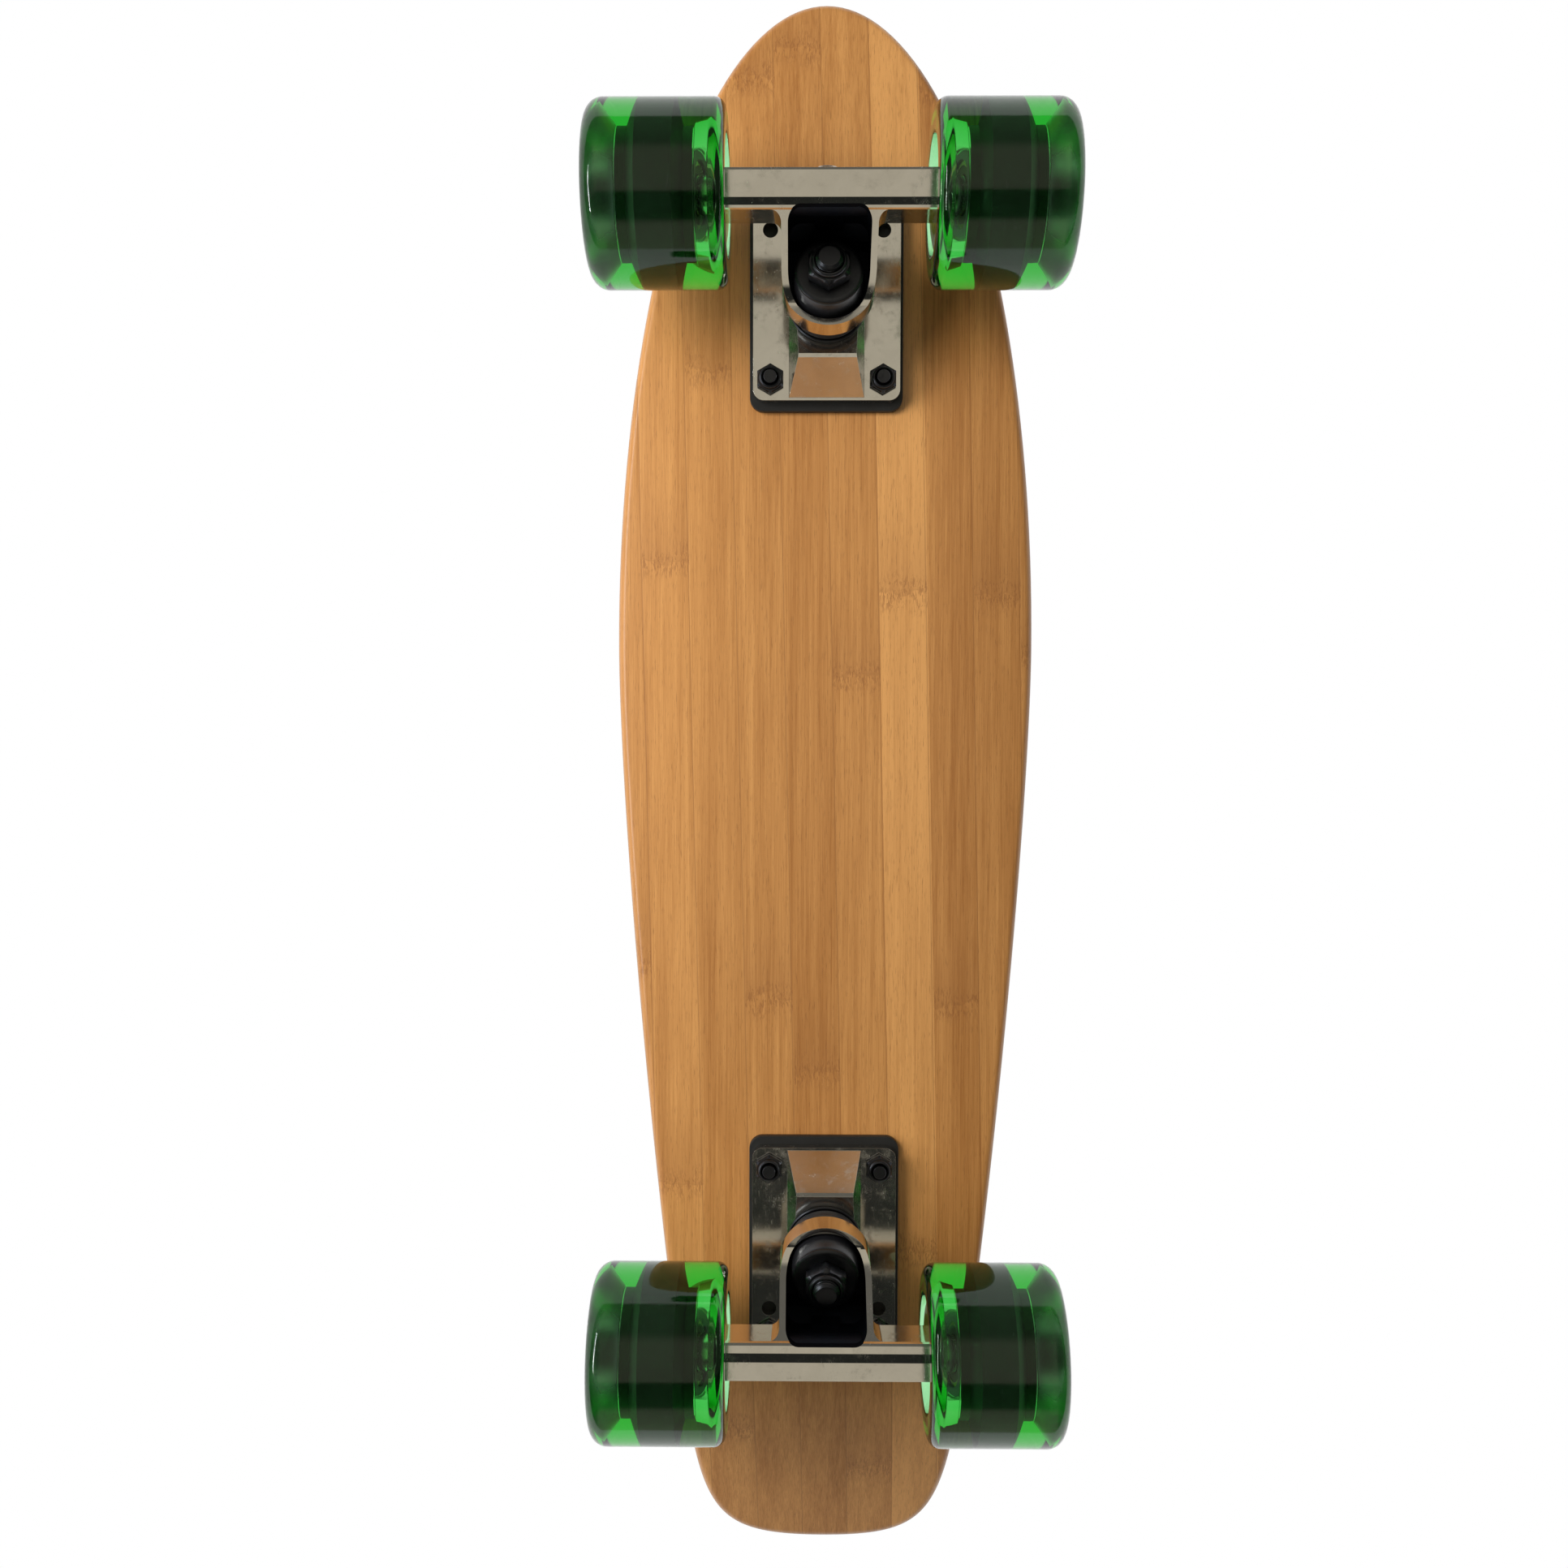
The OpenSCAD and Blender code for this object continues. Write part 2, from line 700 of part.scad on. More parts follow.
// The tyre's faces: a conical dish outside, a stepped recess over the hanger inside
outer_face = [[barrel_r + 0.4, barrel_half + 0.3], [21.3, half_wheel - 1.5], [22.4, half_wheel - 0.2]];
inner_face = [[20, 0.3 - half_wheel], [18.6, 1.4 - half_wheel], [16.2, 5.5 - half_wheel],
    [15.2, -barrel_half - 0.3]];
tyre_outline = concat(core_side, outer_face, lip(lip_r, 1), backwards(lip(inner_lip_r, -1)), inner_face,
    other_side(core_side));

bearing_seat = [[9, spacer_len / 2], [bearing_r, spacer_len / 2], [bearing_r, barrel_half]];
core_outline = concat(bearing_seat, backwards(core_side), other_side(backwards(core_side)),
    other_side(bearing_seat));

module wheel_place(y, x_side) {
    translate([x_side * wheel_mid, y, wheel_r]) rotate([0, x_side * 90, 0]) children();
}
front_axle_y = -truck_shift - wheelbase / 2;
rear_axle_y = -truck_shift + wheelbase / 2;
module front_left() {
    wheel_place(front_axle_y, 1) children();
}
module front_right() {
    wheel_place(front_axle_y, -1) children();
}
module rear_left() {
    wheel_place(rear_axle_y, 1) children();
}
module rear_right() {
    wheel_place(rear_axle_y, -1) children();
}

module tyre() {
    color([0.12, 0.62, 0.24, 0.7]) rotate_extrude() polygon(tyre_outline);
}

module core() {
    color("#161817") rotate_extrude() polygon(core_outline);
}

module bearing_outer_rings() {
    color("#a8a8a6") both_ends() translate([0, 0, bearing_mid]) ring(bearing_r, outer_ring_r);
}

module bearing_shields() {
    face = bearing_w / 2 - shield_inset - shield_t;
    color("#111111") both_ends() translate([0, 0, bearing_mid]) both_ends() translate([0, 0, face])
        tube(outer_ring_r, inner_ring_r + 0.4, shield_t);
}

module bearing_balls() {
    color("#c9c9c9") both_ends() translate([0, 0, bearing_mid]) {
        for (i = [0 : ball_count - 1])
            rotate([0, 0, 360 * i / ball_count]) translate([ball_pitch_r, 0, 0]) sphere(r = bearing_ball_r);
        translate([0, 0, bearing_ball_r + 0.1]) tube(cage_r_out, cage_r_in, cage_t);
    }
}

// ---- What is drawn -------------------------------------------------------------------

deck();
grip_tape();
front() riser_pad();  // riser_pad_front
rear() riser_pad();  // riser_pad_rear
front() baseplate();  // baseplate_front
rear() baseplate();  // baseplate_rear
front() mounting_bolts();  // mounting_bolts_front
rear() mounting_bolts();  // mounting_bolts_rear
front() mounting_nuts();  // mounting_nuts_front
rear() mounting_nuts();  // mounting_nuts_rear
front() pivot_cup();  // pivot_cup_front
rear() pivot_cup();  // pivot_cup_rear
front() kingpin();  // kingpin_front
rear() kingpin();  // kingpin_rear
front() seat_washer();  // seat_washer_front
rear() seat_washer();  // seat_washer_rear
front() board_bushing();  // board_bushing_front
rear() board_bushing();  // board_bushing_rear
front() road_bushing();  // road_bushing_front
rear() road_bushing();  // road_bushing_rear
front() cup_washer();  // cup_washer_front
rear() cup_washer();  // cup_washer_rear
front() kingpin_nut();  // kingpin_nut_front
rear() kingpin_nut();  // kingpin_nut_rear
front() hanger();  // hanger_front
rear() hanger();  // hanger_rear
front() axle();  // axle_front
rear() axle();  // axle_rear
front() speed_washers();  // speed_washers_front
rear() speed_washers();  // speed_washers_rear
front() bearing_spacers();  // bearing_spacers_front
rear() bearing_spacers();  // bearing_spacers_rear
front() bearing_inner_rings();  // bearing_inner_rings_front
rear() bearing_inner_rings();  // bearing_inner_rings_rear
front() axle_nuts();  // axle_nuts_front
rear() axle_nuts();  // axle_nuts_rear
front_left() tyre();  // tyre_front_left
front_right() tyre();  // tyre_front_right
rear_left() tyre();  // tyre_rear_left
rear_right() tyre();  // tyre_rear_right
front_left() core();  // core_front_left
front_right() core();  // core_front_right
rear_left() core();  // core_rear_left
rear_right() core();  // core_rear_right
front_left() bearing_outer_rings();  // bearing_outer_rings_front_left
front_right() bearing_outer_rings();  // bearing_outer_rings_front_right
rear_left() bearing_outer_rings();  // bearing_outer_rings_rear_left
rear_right() bearing_outer_rings();  // bearing_outer_rings_rear_right
front_left() bearing_shields();  // bearing_shields_front_left
front_right() bearing_shields();  // bearing_shields_front_right
rear_left() bearing_shields();  // bearing_shields_rear_left
rear_right() bearing_shields();  // bearing_shields_rear_right
front_left() bearing_balls();  // bearing_balls_front_left
front_right() bearing_balls();  // bearing_balls_front_right
rear_left() bearing_balls();  // bearing_balls_rear_left
rear_right() bearing_balls();  // bearing_balls_rear_right
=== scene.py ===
import math

import bmesh
import bpy
from mathutils import Matrix, Vector


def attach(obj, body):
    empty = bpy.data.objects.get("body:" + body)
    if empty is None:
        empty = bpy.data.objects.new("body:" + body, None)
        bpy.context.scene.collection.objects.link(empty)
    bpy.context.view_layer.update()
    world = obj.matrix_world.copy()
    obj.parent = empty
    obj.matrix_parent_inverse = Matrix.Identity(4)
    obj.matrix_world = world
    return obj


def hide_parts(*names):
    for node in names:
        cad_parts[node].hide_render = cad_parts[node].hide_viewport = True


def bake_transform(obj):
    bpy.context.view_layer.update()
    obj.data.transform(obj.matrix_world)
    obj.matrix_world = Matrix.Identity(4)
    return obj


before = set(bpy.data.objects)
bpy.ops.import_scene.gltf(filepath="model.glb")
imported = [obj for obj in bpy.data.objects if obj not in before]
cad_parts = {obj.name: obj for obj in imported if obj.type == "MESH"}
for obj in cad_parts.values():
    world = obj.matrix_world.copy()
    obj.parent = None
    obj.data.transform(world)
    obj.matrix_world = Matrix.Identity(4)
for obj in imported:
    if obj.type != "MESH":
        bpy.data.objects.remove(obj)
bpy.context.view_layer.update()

MM = 0.001
SHARP = math.radians(34)
ENDS = ("front", "rear")
WHEELS = [(end, side) for end in ENDS for side in ("left", "right")]


# ---- Places: the truck, kingpin, pivot, axle and wheel frames -------------------------

def move(x, y, z):
    return Matrix.Translation((x * MM, y * MM, z * MM))


def turn(degrees, axis):
    return Matrix.Rotation(math.radians(degrees), 4, axis)


DECK_Z = 86
DECK_T = 10.5
TAPE_T = 0.8
AXLE_OUT = 49.7
AXLE_DROP = 56
KINGPIN_LEAN = 14
PIVOT_SLOPE = 30.56
ROW_X = 41.3
ROW_LONG = 63.5
TRUCK = {"front": move(0, -156.1, DECK_Z), "rear": move(0, 137.1, DECK_Z) @ turn(180, "Z")}
KINGPIN = {e: TRUCK[e] @ move(0, -22.2, -21) @ turn(180 - KINGPIN_LEAN, "X") for e in ENDS}
PIVOT = {e: TRUCK[e] @ move(0, -58, -14) @ turn(270 - PIVOT_SLOPE, "X") for e in ENDS}
AXLE = {e: TRUCK[e] @ move(0, -AXLE_OUT, -AXLE_DROP) @ turn(90, "Y") for e in ENDS}
AXLE_Y = {"front": -205.8, "rear": 186.8}
WHEEL_R = 30
WHEEL_X = 57
OUT = {"left": 1, "right": -1}
WHEEL = {(e, s): move(OUT[s] * WHEEL_X, AXLE_Y[e], WHEEL_R) @ turn(OUT[s] * 90, "Y") for e, s in WHEELS}


# ---- Node helpers ---------------------------------------------------------------------

def put(tree, kind, ins=None, **props):
    """Adds a node, sets its properties, then sets or links its inputs."""
    node = tree.nodes.new(kind)
    for key, value in props.items():
        setattr(node, key, value)
    for key, value in (ins or {}).items():
        if isinstance(value, bpy.types.NodeSocket):
            tree.links.new(value, node.inputs[key])
        else:
            node.inputs[key].default_value = value
    return node


def calc(tree, operation, *values, clamp=False):
    ins = dict(enumerate(values))
    return put(tree, "ShaderNodeMath", ins, operation=operation, use_clamp=clamp).outputs[0]


def step(tree, value, low, high):
    """0 below low and 1 above high, with a smooth rise between them."""
    return put(tree, "ShaderNodeMapRange", {"Value": value, "From Min": low, "From Max": high},
               interpolation_type="SMOOTHSTEP").outputs[0]


# ---- Geometry Nodes: turned pieces, copies at places, threads, grit, the pressed board --

def new_tree(name, sizes):
    """A geometry tree with a geometry input and output and the named sizes as inputs."""
    tree = bpy.data.node_groups.new(name, "GeometryNodeTree")
    face = tree.interface
    face.new_socket("Geometry", in_out="INPUT", socket_type="NodeSocketGeometry")
    for label, kind, value in sizes:
        socket = face.new_socket(label, in_out="INPUT", socket_type="NodeSocket" + kind)
        if value is not None:
            socket.default_value = value
    face.new_socket("Geometry", in_out="OUTPUT", socket_type="NodeSocketGeometry")
    return tree, put(tree, "NodeGroupInput").outputs


def close_tree(tree, geometry, sizes):
    """Ends a tree: real geometry in its own finish."""
    real = put(tree, "GeometryNodeRealizeInstances", {0: geometry})
    done = put(tree, "GeometryNodeSetMaterial", {0: real.outputs[0], "Material": sizes["Finish"]})
    put(tree, "NodeGroupOutput", {0: done.outputs[0]})
    return tree


def grown(mesh, tree, values):
    """The plain mesh that a tree makes of a mesh with the given named sizes."""
    holder = bpy.data.objects.new("holder", mesh)
    bpy.context.scene.collection.objects.link(holder)
    modifier = holder.modifiers.new(tree.name, "NODES")
    modifier.node_group = tree
    for item in tree.interface.items_tree:
        if item.item_type == "SOCKET" and item.in_out == "INPUT" and item.name in values:
            modifier[item.identifier] = values[item.name]
    graph = bpy.context.evaluated_depsgraph_get()
    result = bpy.data.meshes.new_from_object(holder.evaluated_get(graph))
    bpy.data.objects.remove(holder)
    return result


def modified(mesh, kind, **settings):
    """The plain mesh that a modifier makes of a mesh."""
    holder = bpy.data.objects.new("holder", mesh)
    bpy.context.scene.collection.objects.link(holder)
    modifier = holder.modifiers.new(kind, kind)
    for key, value in settings.items():
        setattr(modifier, key, value)
    graph = bpy.context.evaluated_depsgraph_get()
    result = bpy.data.meshes.new_from_object(holder.evaluated_get(graph))
    bpy.data.objects.remove(holder)
    return result


def turning_tree():
    """Turns a closed outline round the axis; corners are cut to flats across a hexagon."""
    tree, sizes = new_tree("turned", [
        ("Turning radius", "Float", 0.02), ("Segments", "Int", 96),
        ("Across flats", "Float", 1.0), ("Finish", "Material", None)])
    outline = put(tree, "GeometryNodeMeshToCurve", {0: sizes[0]})
    path = put(tree, "GeometryNodeCurvePrimitiveCircle",
               {"Resolution": sizes["Segments"], "Radius": sizes["Turning radius"]})
    swept = put(tree, "GeometryNodeCurveToMesh", {0: path.outputs[0], 1: outline.outputs[0]})
    at = put(tree, "ShaderNodeSeparateXYZ", {0: put(tree, "GeometryNodeInputPosition").outputs[0]})
    x, y, z = at.outputs
    squares = calc(tree, "ADD", calc(tree, "MULTIPLY", x, x), calc(tree, "MULTIPLY", y, y))
    radius = calc(tree, "SQRT", squares)
    facet = calc(tree, "WRAP", calc(tree, "ARCTAN2", y, x), math.pi / 6, -math.pi / 6)
    half = calc(tree, "MULTIPLY", sizes["Across flats"], 0.5)
    flat = calc(tree, "DIVIDE", half, calc(tree, "COSINE", facet))
    cut = calc(tree, "MINIMUM", calc(tree, "DIVIDE", flat, calc(tree, "MAXIMUM", radius, 1e-6)), 1.0)
    cut_at = put(tree, "ShaderNodeCombineXYZ", {0: calc(tree, "MULTIPLY", x, cut),
                                                1: calc(tree, "MULTIPLY", y, cut), 2: z})
    shaped = put(tree, "GeometryNodeSetPosition", {0: swept.outputs[0], "Position": cut_at.outputs[0]})
    welded = put(tree, "GeometryNodeMergeByDistance", {0: shaped.outputs[0], "Distance": 1e-6})
    return close_tree(tree, welded.outputs[0], sizes)


def copies_tree():
    """Sets one copy of a piece at each point of a mesh."""
    tree, sizes = new_tree("copies", [("Piece", "Object", None), ("Finish", "Material", None)])
    piece = put(tree, "GeometryNodeObjectInfo", {"Object": sizes["Piece"]})
    copies = put(tree, "GeometryNodeInstanceOnPoints",
                 {"Points": sizes[0], "Instance": piece.outputs["Geometry"]})
    return close_tree(tree, copies.outputs[0], sizes)


def thread_tree():
    """A screw thread: a three-sided ridge that climbs round the axis."""
    tree, sizes = new_tree("thread", [
        ("Radius", "Float", 0.004), ("Turns", "Float", 8.0), ("Length", "Float", 0.01),
        ("Ridge", "Float", 0.0004), ("Finish", "Material", None)])
    path = put(tree, "GeometryNodeCurveSpiral", {
        "Resolution": 28, "Rotations": sizes["Turns"], "Start Radius": sizes["Radius"],
        "End Radius": sizes["Radius"], "Height": sizes["Length"]})
    ridge = put(tree, "GeometryNodeCurvePrimitiveCircle", {"Resolution": 4, "Radius": sizes["Ridge"]})
    swept = put(tree, "GeometryNodeCurveToMesh",
                {0: path.outputs[0], 1: ridge.outputs[0], "Fill Caps": True})
    return close_tree(tree, swept.outputs[0], sizes)


def grit_tree():
    """Strews coarse grains over a surface."""
    tree, sizes = new_tree("grit", [
        ("Grains per square metre", "Float", 1e5), ("Smallest grain", "Float", 0.00012),
        ("Largest grain", "Float", 0.0003), ("Seed", "Int", 4), ("Finish", "Material", None)])
    spread = put(tree, "GeometryNodeDistributePointsOnFaces", {
        "Mesh": sizes[0], "Density": sizes["Grains per square metre"], "Seed": sizes["Seed"]})
    grain = put(tree, "GeometryNodeMeshIcoSphere", {"Radius": 1.0, "Subdivisions": 1})
    angles = put(tree, "FunctionNodeRandomValue",
                 {"Min": (0, 0, 0), "Max": (6.28, 6.28, 6.28), "Seed": sizes["Seed"]},
                 data_type="FLOAT_VECTOR")
    scale = put(tree, "FunctionNodeRandomValue",
                {2: sizes["Smallest grain"], 3: sizes["Largest grain"], "Seed": sizes["Seed"]},
                data_type="FLOAT")
    turned_to = put(tree, "FunctionNodeEulerToRotation", {0: angles.outputs[0]})
    grains = put(tree, "GeometryNodeInstanceOnPoints", {
        "Points": spread.outputs[0], "Instance": grain.outputs[0], "Rotation": turned_to.outputs[0],
        "Scale": scale.outputs[1]})
    return close_tree(tree, grains.outputs[0], sizes)


NOSE_KICK_Y = -231
NOSE_RUN = 68
TAIL_KICK_Y = 212
TAIL_RUN = 87
KICK_BLEND = 25


def kick_height(tree, past, run, rise):
    """Height of a kick that starts gently and runs out straight, past metres into it."""
    blend = KICK_BLEND * MM
    past = calc(tree, "MAXIMUM", past, 0.0)
    steep = calc(tree, "DIVIDE", calc(tree, "MULTIPLY", past, past), calc(tree, "ADD", past, blend))
    return calc(tree, "MULTIPLY", calc(tree, "MULTIPLY", rise, (run + blend) / (run * run)), steep)


def press_tree():
    """Presses a flat board into its mould: raised edges, nose and tail."""
    tree, sizes = new_tree("pressed", [
        ("Concave", "Float", 0.005), ("Nose rise", "Float", 0.009), ("Tail rise", "Float", 0.025),
        ("Flat half width", "Float", 0.03), ("Half width", "Float", 0.0785), ("Finish", "Material", None)])
    at = put(tree, "ShaderNodeSeparateXYZ", {0: put(tree, "GeometryNodeInputPosition").outputs[0]})
    x, y, z = at.outputs
    kept = put(tree, "GeometryNodeStoreNamedAttribute", {0: sizes[0], "Name": "ply", "Value": z},
               data_type="FLOAT", domain="POINT")
    flat = sizes["Flat half width"]
    past = calc(tree, "MAXIMUM", calc(tree, "SUBTRACT", calc(tree, "ABSOLUTE", x), flat), 0.0)
    share = calc(tree, "DIVIDE", past, calc(tree, "SUBTRACT", sizes["Half width"], flat))
    rise = calc(tree, "MULTIPLY", sizes["Concave"], calc(tree, "MULTIPLY", share, share))
    nose = kick_height(tree, calc(tree, "SUBTRACT", NOSE_KICK_Y * MM, y), NOSE_RUN * MM, sizes["Nose rise"])
    tail = kick_height(tree, calc(tree, "SUBTRACT", y, TAIL_KICK_Y * MM), TAIL_RUN * MM, sizes["Tail rise"])
    up = calc(tree, "ADD", calc(tree, "ADD", rise, nose), calc(tree, "ADD", tail, DECK_Z * MM))
    lift = put(tree, "ShaderNodeCombineXYZ", {2: up})
    pressed = put(tree, "GeometryNodeSetPosition", {0: kept.outputs[0], "Offset": lift.outputs[0]})
    return close_tree(tree, pressed.outputs[0], sizes)


TURNED = turning_tree()
COPIES = copies_tree()
THREAD = thread_tree()
GRIT = grit_tree()
PRESSED = press_tree()


# ---- Finishes ---------------------------------------------------------------------------

def finish(name, **shader_values):
    """A material with one Principled shader; gives its tree, shader and place on the piece."""
    material = bpy.data.materials.new(name)
    material.use_nodes = True
    tree = material.node_tree
    tree.nodes.clear()
    shader = put(tree, "ShaderNodeBsdfPrincipled")
    for key, value in shader_values.items():
        shader.inputs[key.replace("_", " ")].default_value = value
    put(tree, "ShaderNodeOutputMaterial", {"Surface": shader.outputs[0]})
    place = put(tree, "ShaderNodeTexCoord").outputs["Object"]
    return material, tree, shader, place


def stretched(tree, place, scale):
    return put(tree, "ShaderNodeMapping", {"Vector": place, "Scale": scale}).outputs[0]


def noise(tree, place, scale, detail=3.0, rough=0.55, warp=0.0):
    return put(tree, "ShaderNodeTexNoise", {"Vector": place, "Scale": scale, "Detail": detail,
                                            "Roughness": rough, "Distortion": warp}).outputs["Fac"]


def mixed(tree, share, one, other):
    """Colour mix of one and other by share."""
    node = tree.nodes.new("ShaderNodeMix")
    node.data_type = "RGBA"
    for index, value in ((0, share), (6, one), (7, other)):
        if isinstance(value, bpy.types.NodeSocket):
            tree.links.new(value, node.inputs[index])
        else:
            node.inputs[index].default_value = value
    return node.outputs[2]


def bumped(tree, shader, height, strength, distance):
    bump = put(tree, "ShaderNodeBump", {"Height": height, "Strength": strength, "Distance": distance})
    tree.links.new(bump.outputs[0], shader.inputs["Normal"])


def spanned(tree, value, low, high):
    return put(tree, "ShaderNodeMapRange", {"Value": value, "To Min": low, "To Max": high}).outputs[0]


STRIP = 0.0178
STRIP_START = 0.0038
STRIP_SLANT = 0.022
STRIPS = 10
LAYER = 0.0021


def per_strip(tree, along, values):
    """One value from 0 to 1 for each of the strips across the board."""
    node = put(tree, "ShaderNodeValToRGB", {0: along})
    ramp = node.color_ramp
    ramp.interpolation = "CONSTANT"
    while len(ramp.elements) < len(values):
        ramp.elements.new(1.0)
    for k, value in enumerate(values):
        ramp.elements[k].position = k / len(values)
        ramp.elements[k].color = (value, value, value, 1)
    return node.outputs[0]


def strip_grain(tree, own, tone):
    """Wood of a strip: broad clouds, streaks and fibres over its tone, with fine pores."""
    broad = noise(tree, stretched(tree, own, (130, 5, 60)), 1.0, 3.0)
    streak = noise(tree, stretched(tree, own, (700, 9, 300)), 1.0, 4.0, 0.6)
    fibre = noise(tree, stretched(tree, own, (2600, 40, 900)), 1.0, 3.0, 0.6)
    pore = noise(tree, stretched(tree, own, (4200, 190, 900)), 1.0, 2.0)
    shade = tone
    for pattern, strength in ((broad, 0.9), (streak, 0.75), (fibre, 0.85)):
        swing = calc(tree, "MULTIPLY", calc(tree, "SUBTRACT", pattern, 0.5), strength)
        shade = calc(tree, "ADD", shade, swing, clamp=pattern is fibre)
    wood = mixed(tree, shade, (0.40, 0.155, 0.035, 1), (0.79, 0.39, 0.125, 1))
    pores = calc(tree, "MULTIPLY", step(tree, pore, 0.58, 0.7), 0.45)
    return mixed(tree, pores, wood, (0.26, 0.105, 0.03, 1)), streak, fibre


def growth_rings(tree, own, along, y):
    """How strongly a growth ring marks the wood: two short speckled bands on each strip."""
    board_half = 0.3
    first = per_strip(tree, along, [0.1, 0.348, 0.23, 0.623, 0.67, 0.42, 0.367, 0.627, 0.368, 0.405])
    second = per_strip(tree, along, [0.6, 0.742, 0.908, 0.05, 0.03, 0.937, 0.785, 0.06, 0.87, 0.8])
    height = calc(tree, "DIVIDE", calc(tree, "ADD", y, board_half), 2 * board_half)
    wavy = calc(tree, "MULTIPLY", calc(tree, "SUBTRACT", noise(tree, own, 130.0, 2.0), 0.5), 0.02)
    height = calc(tree, "ADD", height, wavy)
    to_ring = [calc(tree, "SUBTRACT", ring, height) for ring in (first, second)]
    near = calc(tree, "MINIMUM", *[calc(tree, "ABSOLUTE", way) for way in to_ring])
    band = calc(tree, "SUBTRACT", 1.0, step(tree, near, 0.002, 0.017))
    coarse = noise(tree, stretched(tree, own, (1500, 330, 500)), 1.0, 3.0, 0.65, 0.6)
    speckled = calc(tree, "MULTIPLY", band, calc(tree, "MULTIPLY", step(tree, coarse, 0.46, 0.6), 0.62))
    line = calc(tree, "SUBTRACT", 1.0, step(tree, near, 0.0003, 0.0018))
    # The wood darkens towards each ring from the nose side
    ahead = calc(tree, "MINIMUM", *[calc(tree, "WRAP", way, 1.0, 0.0) for way in to_ring])
    ahead = calc(tree, "MULTIPLY", calc(tree, "SUBTRACT", 1.0, step(tree, ahead, 0.004, 0.06)), 0.2)
    return calc(tree, "MAXIMUM", speckled, calc(tree, "MAXIMUM", calc(tree, "MULTIPLY", line, 0.3), ahead))


def laminated_edge(tree, place, wood):
    """Glue lines between the layers, every other layer showing end grain."""
    ply = put(tree, "ShaderNodeAttribute", attribute_name="ply", attribute_type="GEOMETRY").outputs["Fac"]
    layer = calc(tree, "DIVIDE", ply, LAYER)
    glue = calc(tree, "PINGPONG", layer, 0.5)
    glue = calc(tree, "SUBTRACT", 1.0, step(tree, glue, 0.03, 0.09))
    above_face = step(tree, ply, 0.0009, 0.0013)
    inside = calc(tree, "MULTIPLY", above_face, calc(tree, "SUBTRACT", 1.0, step(tree, ply, 0.0098, 0.0101)))
    glue = calc(tree, "MULTIPLY", glue, inside)
    second_layer = calc(tree, "LESS_THAN", calc(tree, "MODULO", layer, 2.0), 1.0)
    cross = calc(tree, "MULTIPLY", second_layer, inside)
    grain = noise(tree, stretched(tree, place, (1400, 1400, 2500)), 1.0, 3.0)
    end_wood = mixed(tree, grain, (0.28, 0.12, 0.035, 1), (0.58, 0.32, 0.13, 1))
    wood = mixed(tree, calc(tree, "MULTIPLY", cross, 0.55), wood, end_wood)
    return mixed(tree, calc(tree, "MULTIPLY", glue, 0.6), wood, (0.16, 0.065, 0.02, 1)), glue


def bamboo():
    """Flat-sawn bamboo strips under satin lacquer, with growth rings and a laminated edge."""
    material, tree, shader, place = finish("bamboo", Roughness=0.36, Coat_Weight=0.22, Coat_Roughness=0.22)
    x, y, z = put(tree, "ShaderNodeSeparateXYZ", {0: place}).outputs
    across = calc(tree, "SUBTRACT", x, calc(tree, "MULTIPLY", y, STRIP_SLANT))
    lane = calc(tree, "DIVIDE", calc(tree, "SUBTRACT", across, STRIP_START), STRIP)
    within = calc(tree, "FRACT", lane)
    along = calc(tree, "DIVIDE", calc(tree, "ADD", lane, STRIPS / 2), float(STRIPS))
    tone = per_strip(tree, along, [0.5, 0.56, 0.46, 0.46, 0.34, 0.45, 0.86, 0.34, 0.46, 0.42])
    # Every strip has its own grain: the place is shifted lengthwise by the strip's number
    own = put(tree, "ShaderNodeCombineXYZ", {
        0: x, 1: calc(tree, "ADD", y, calc(tree, "FLOOR", lane)), 2: z}).outputs[0]
    wood, streak, fibre = strip_grain(tree, own, tone)
    marks = growth_rings(tree, own, along, y)
    wood = mixed(tree, marks, wood, (0.30, 0.115, 0.035, 1))
    seam = calc(tree, "MINIMUM", within, calc(tree, "SUBTRACT", 1.0, within))
    seam = calc(tree, "SUBTRACT", 1.0, step(tree, seam, 0.004, 0.02))
    wood = mixed(tree, calc(tree, "MULTIPLY", seam, 0.35), wood, (0.25, 0.1, 0.03, 1))
    wood, glue = laminated_edge(tree, place, wood)
    tree.links.new(wood, shader.inputs["Base Color"])
    worn = noise(tree, place, 22.0, 4.0)
    tree.links.new(calc(tree, "ADD", spanned(tree, worn, 0.28, 0.4), calc(tree, "MULTIPLY", fibre, 0.1)),
                   shader.inputs["Roughness"])
    relief = calc(tree, "SUBTRACT", calc(tree, "ADD", fibre, streak), calc(tree, "MULTIPLY", marks, 0.6))
    relief = calc(tree, "SUBTRACT", relief, calc(tree, "ADD", seam, glue))
    bumped(tree, shader, relief, 0.25, 0.00005)
    return material


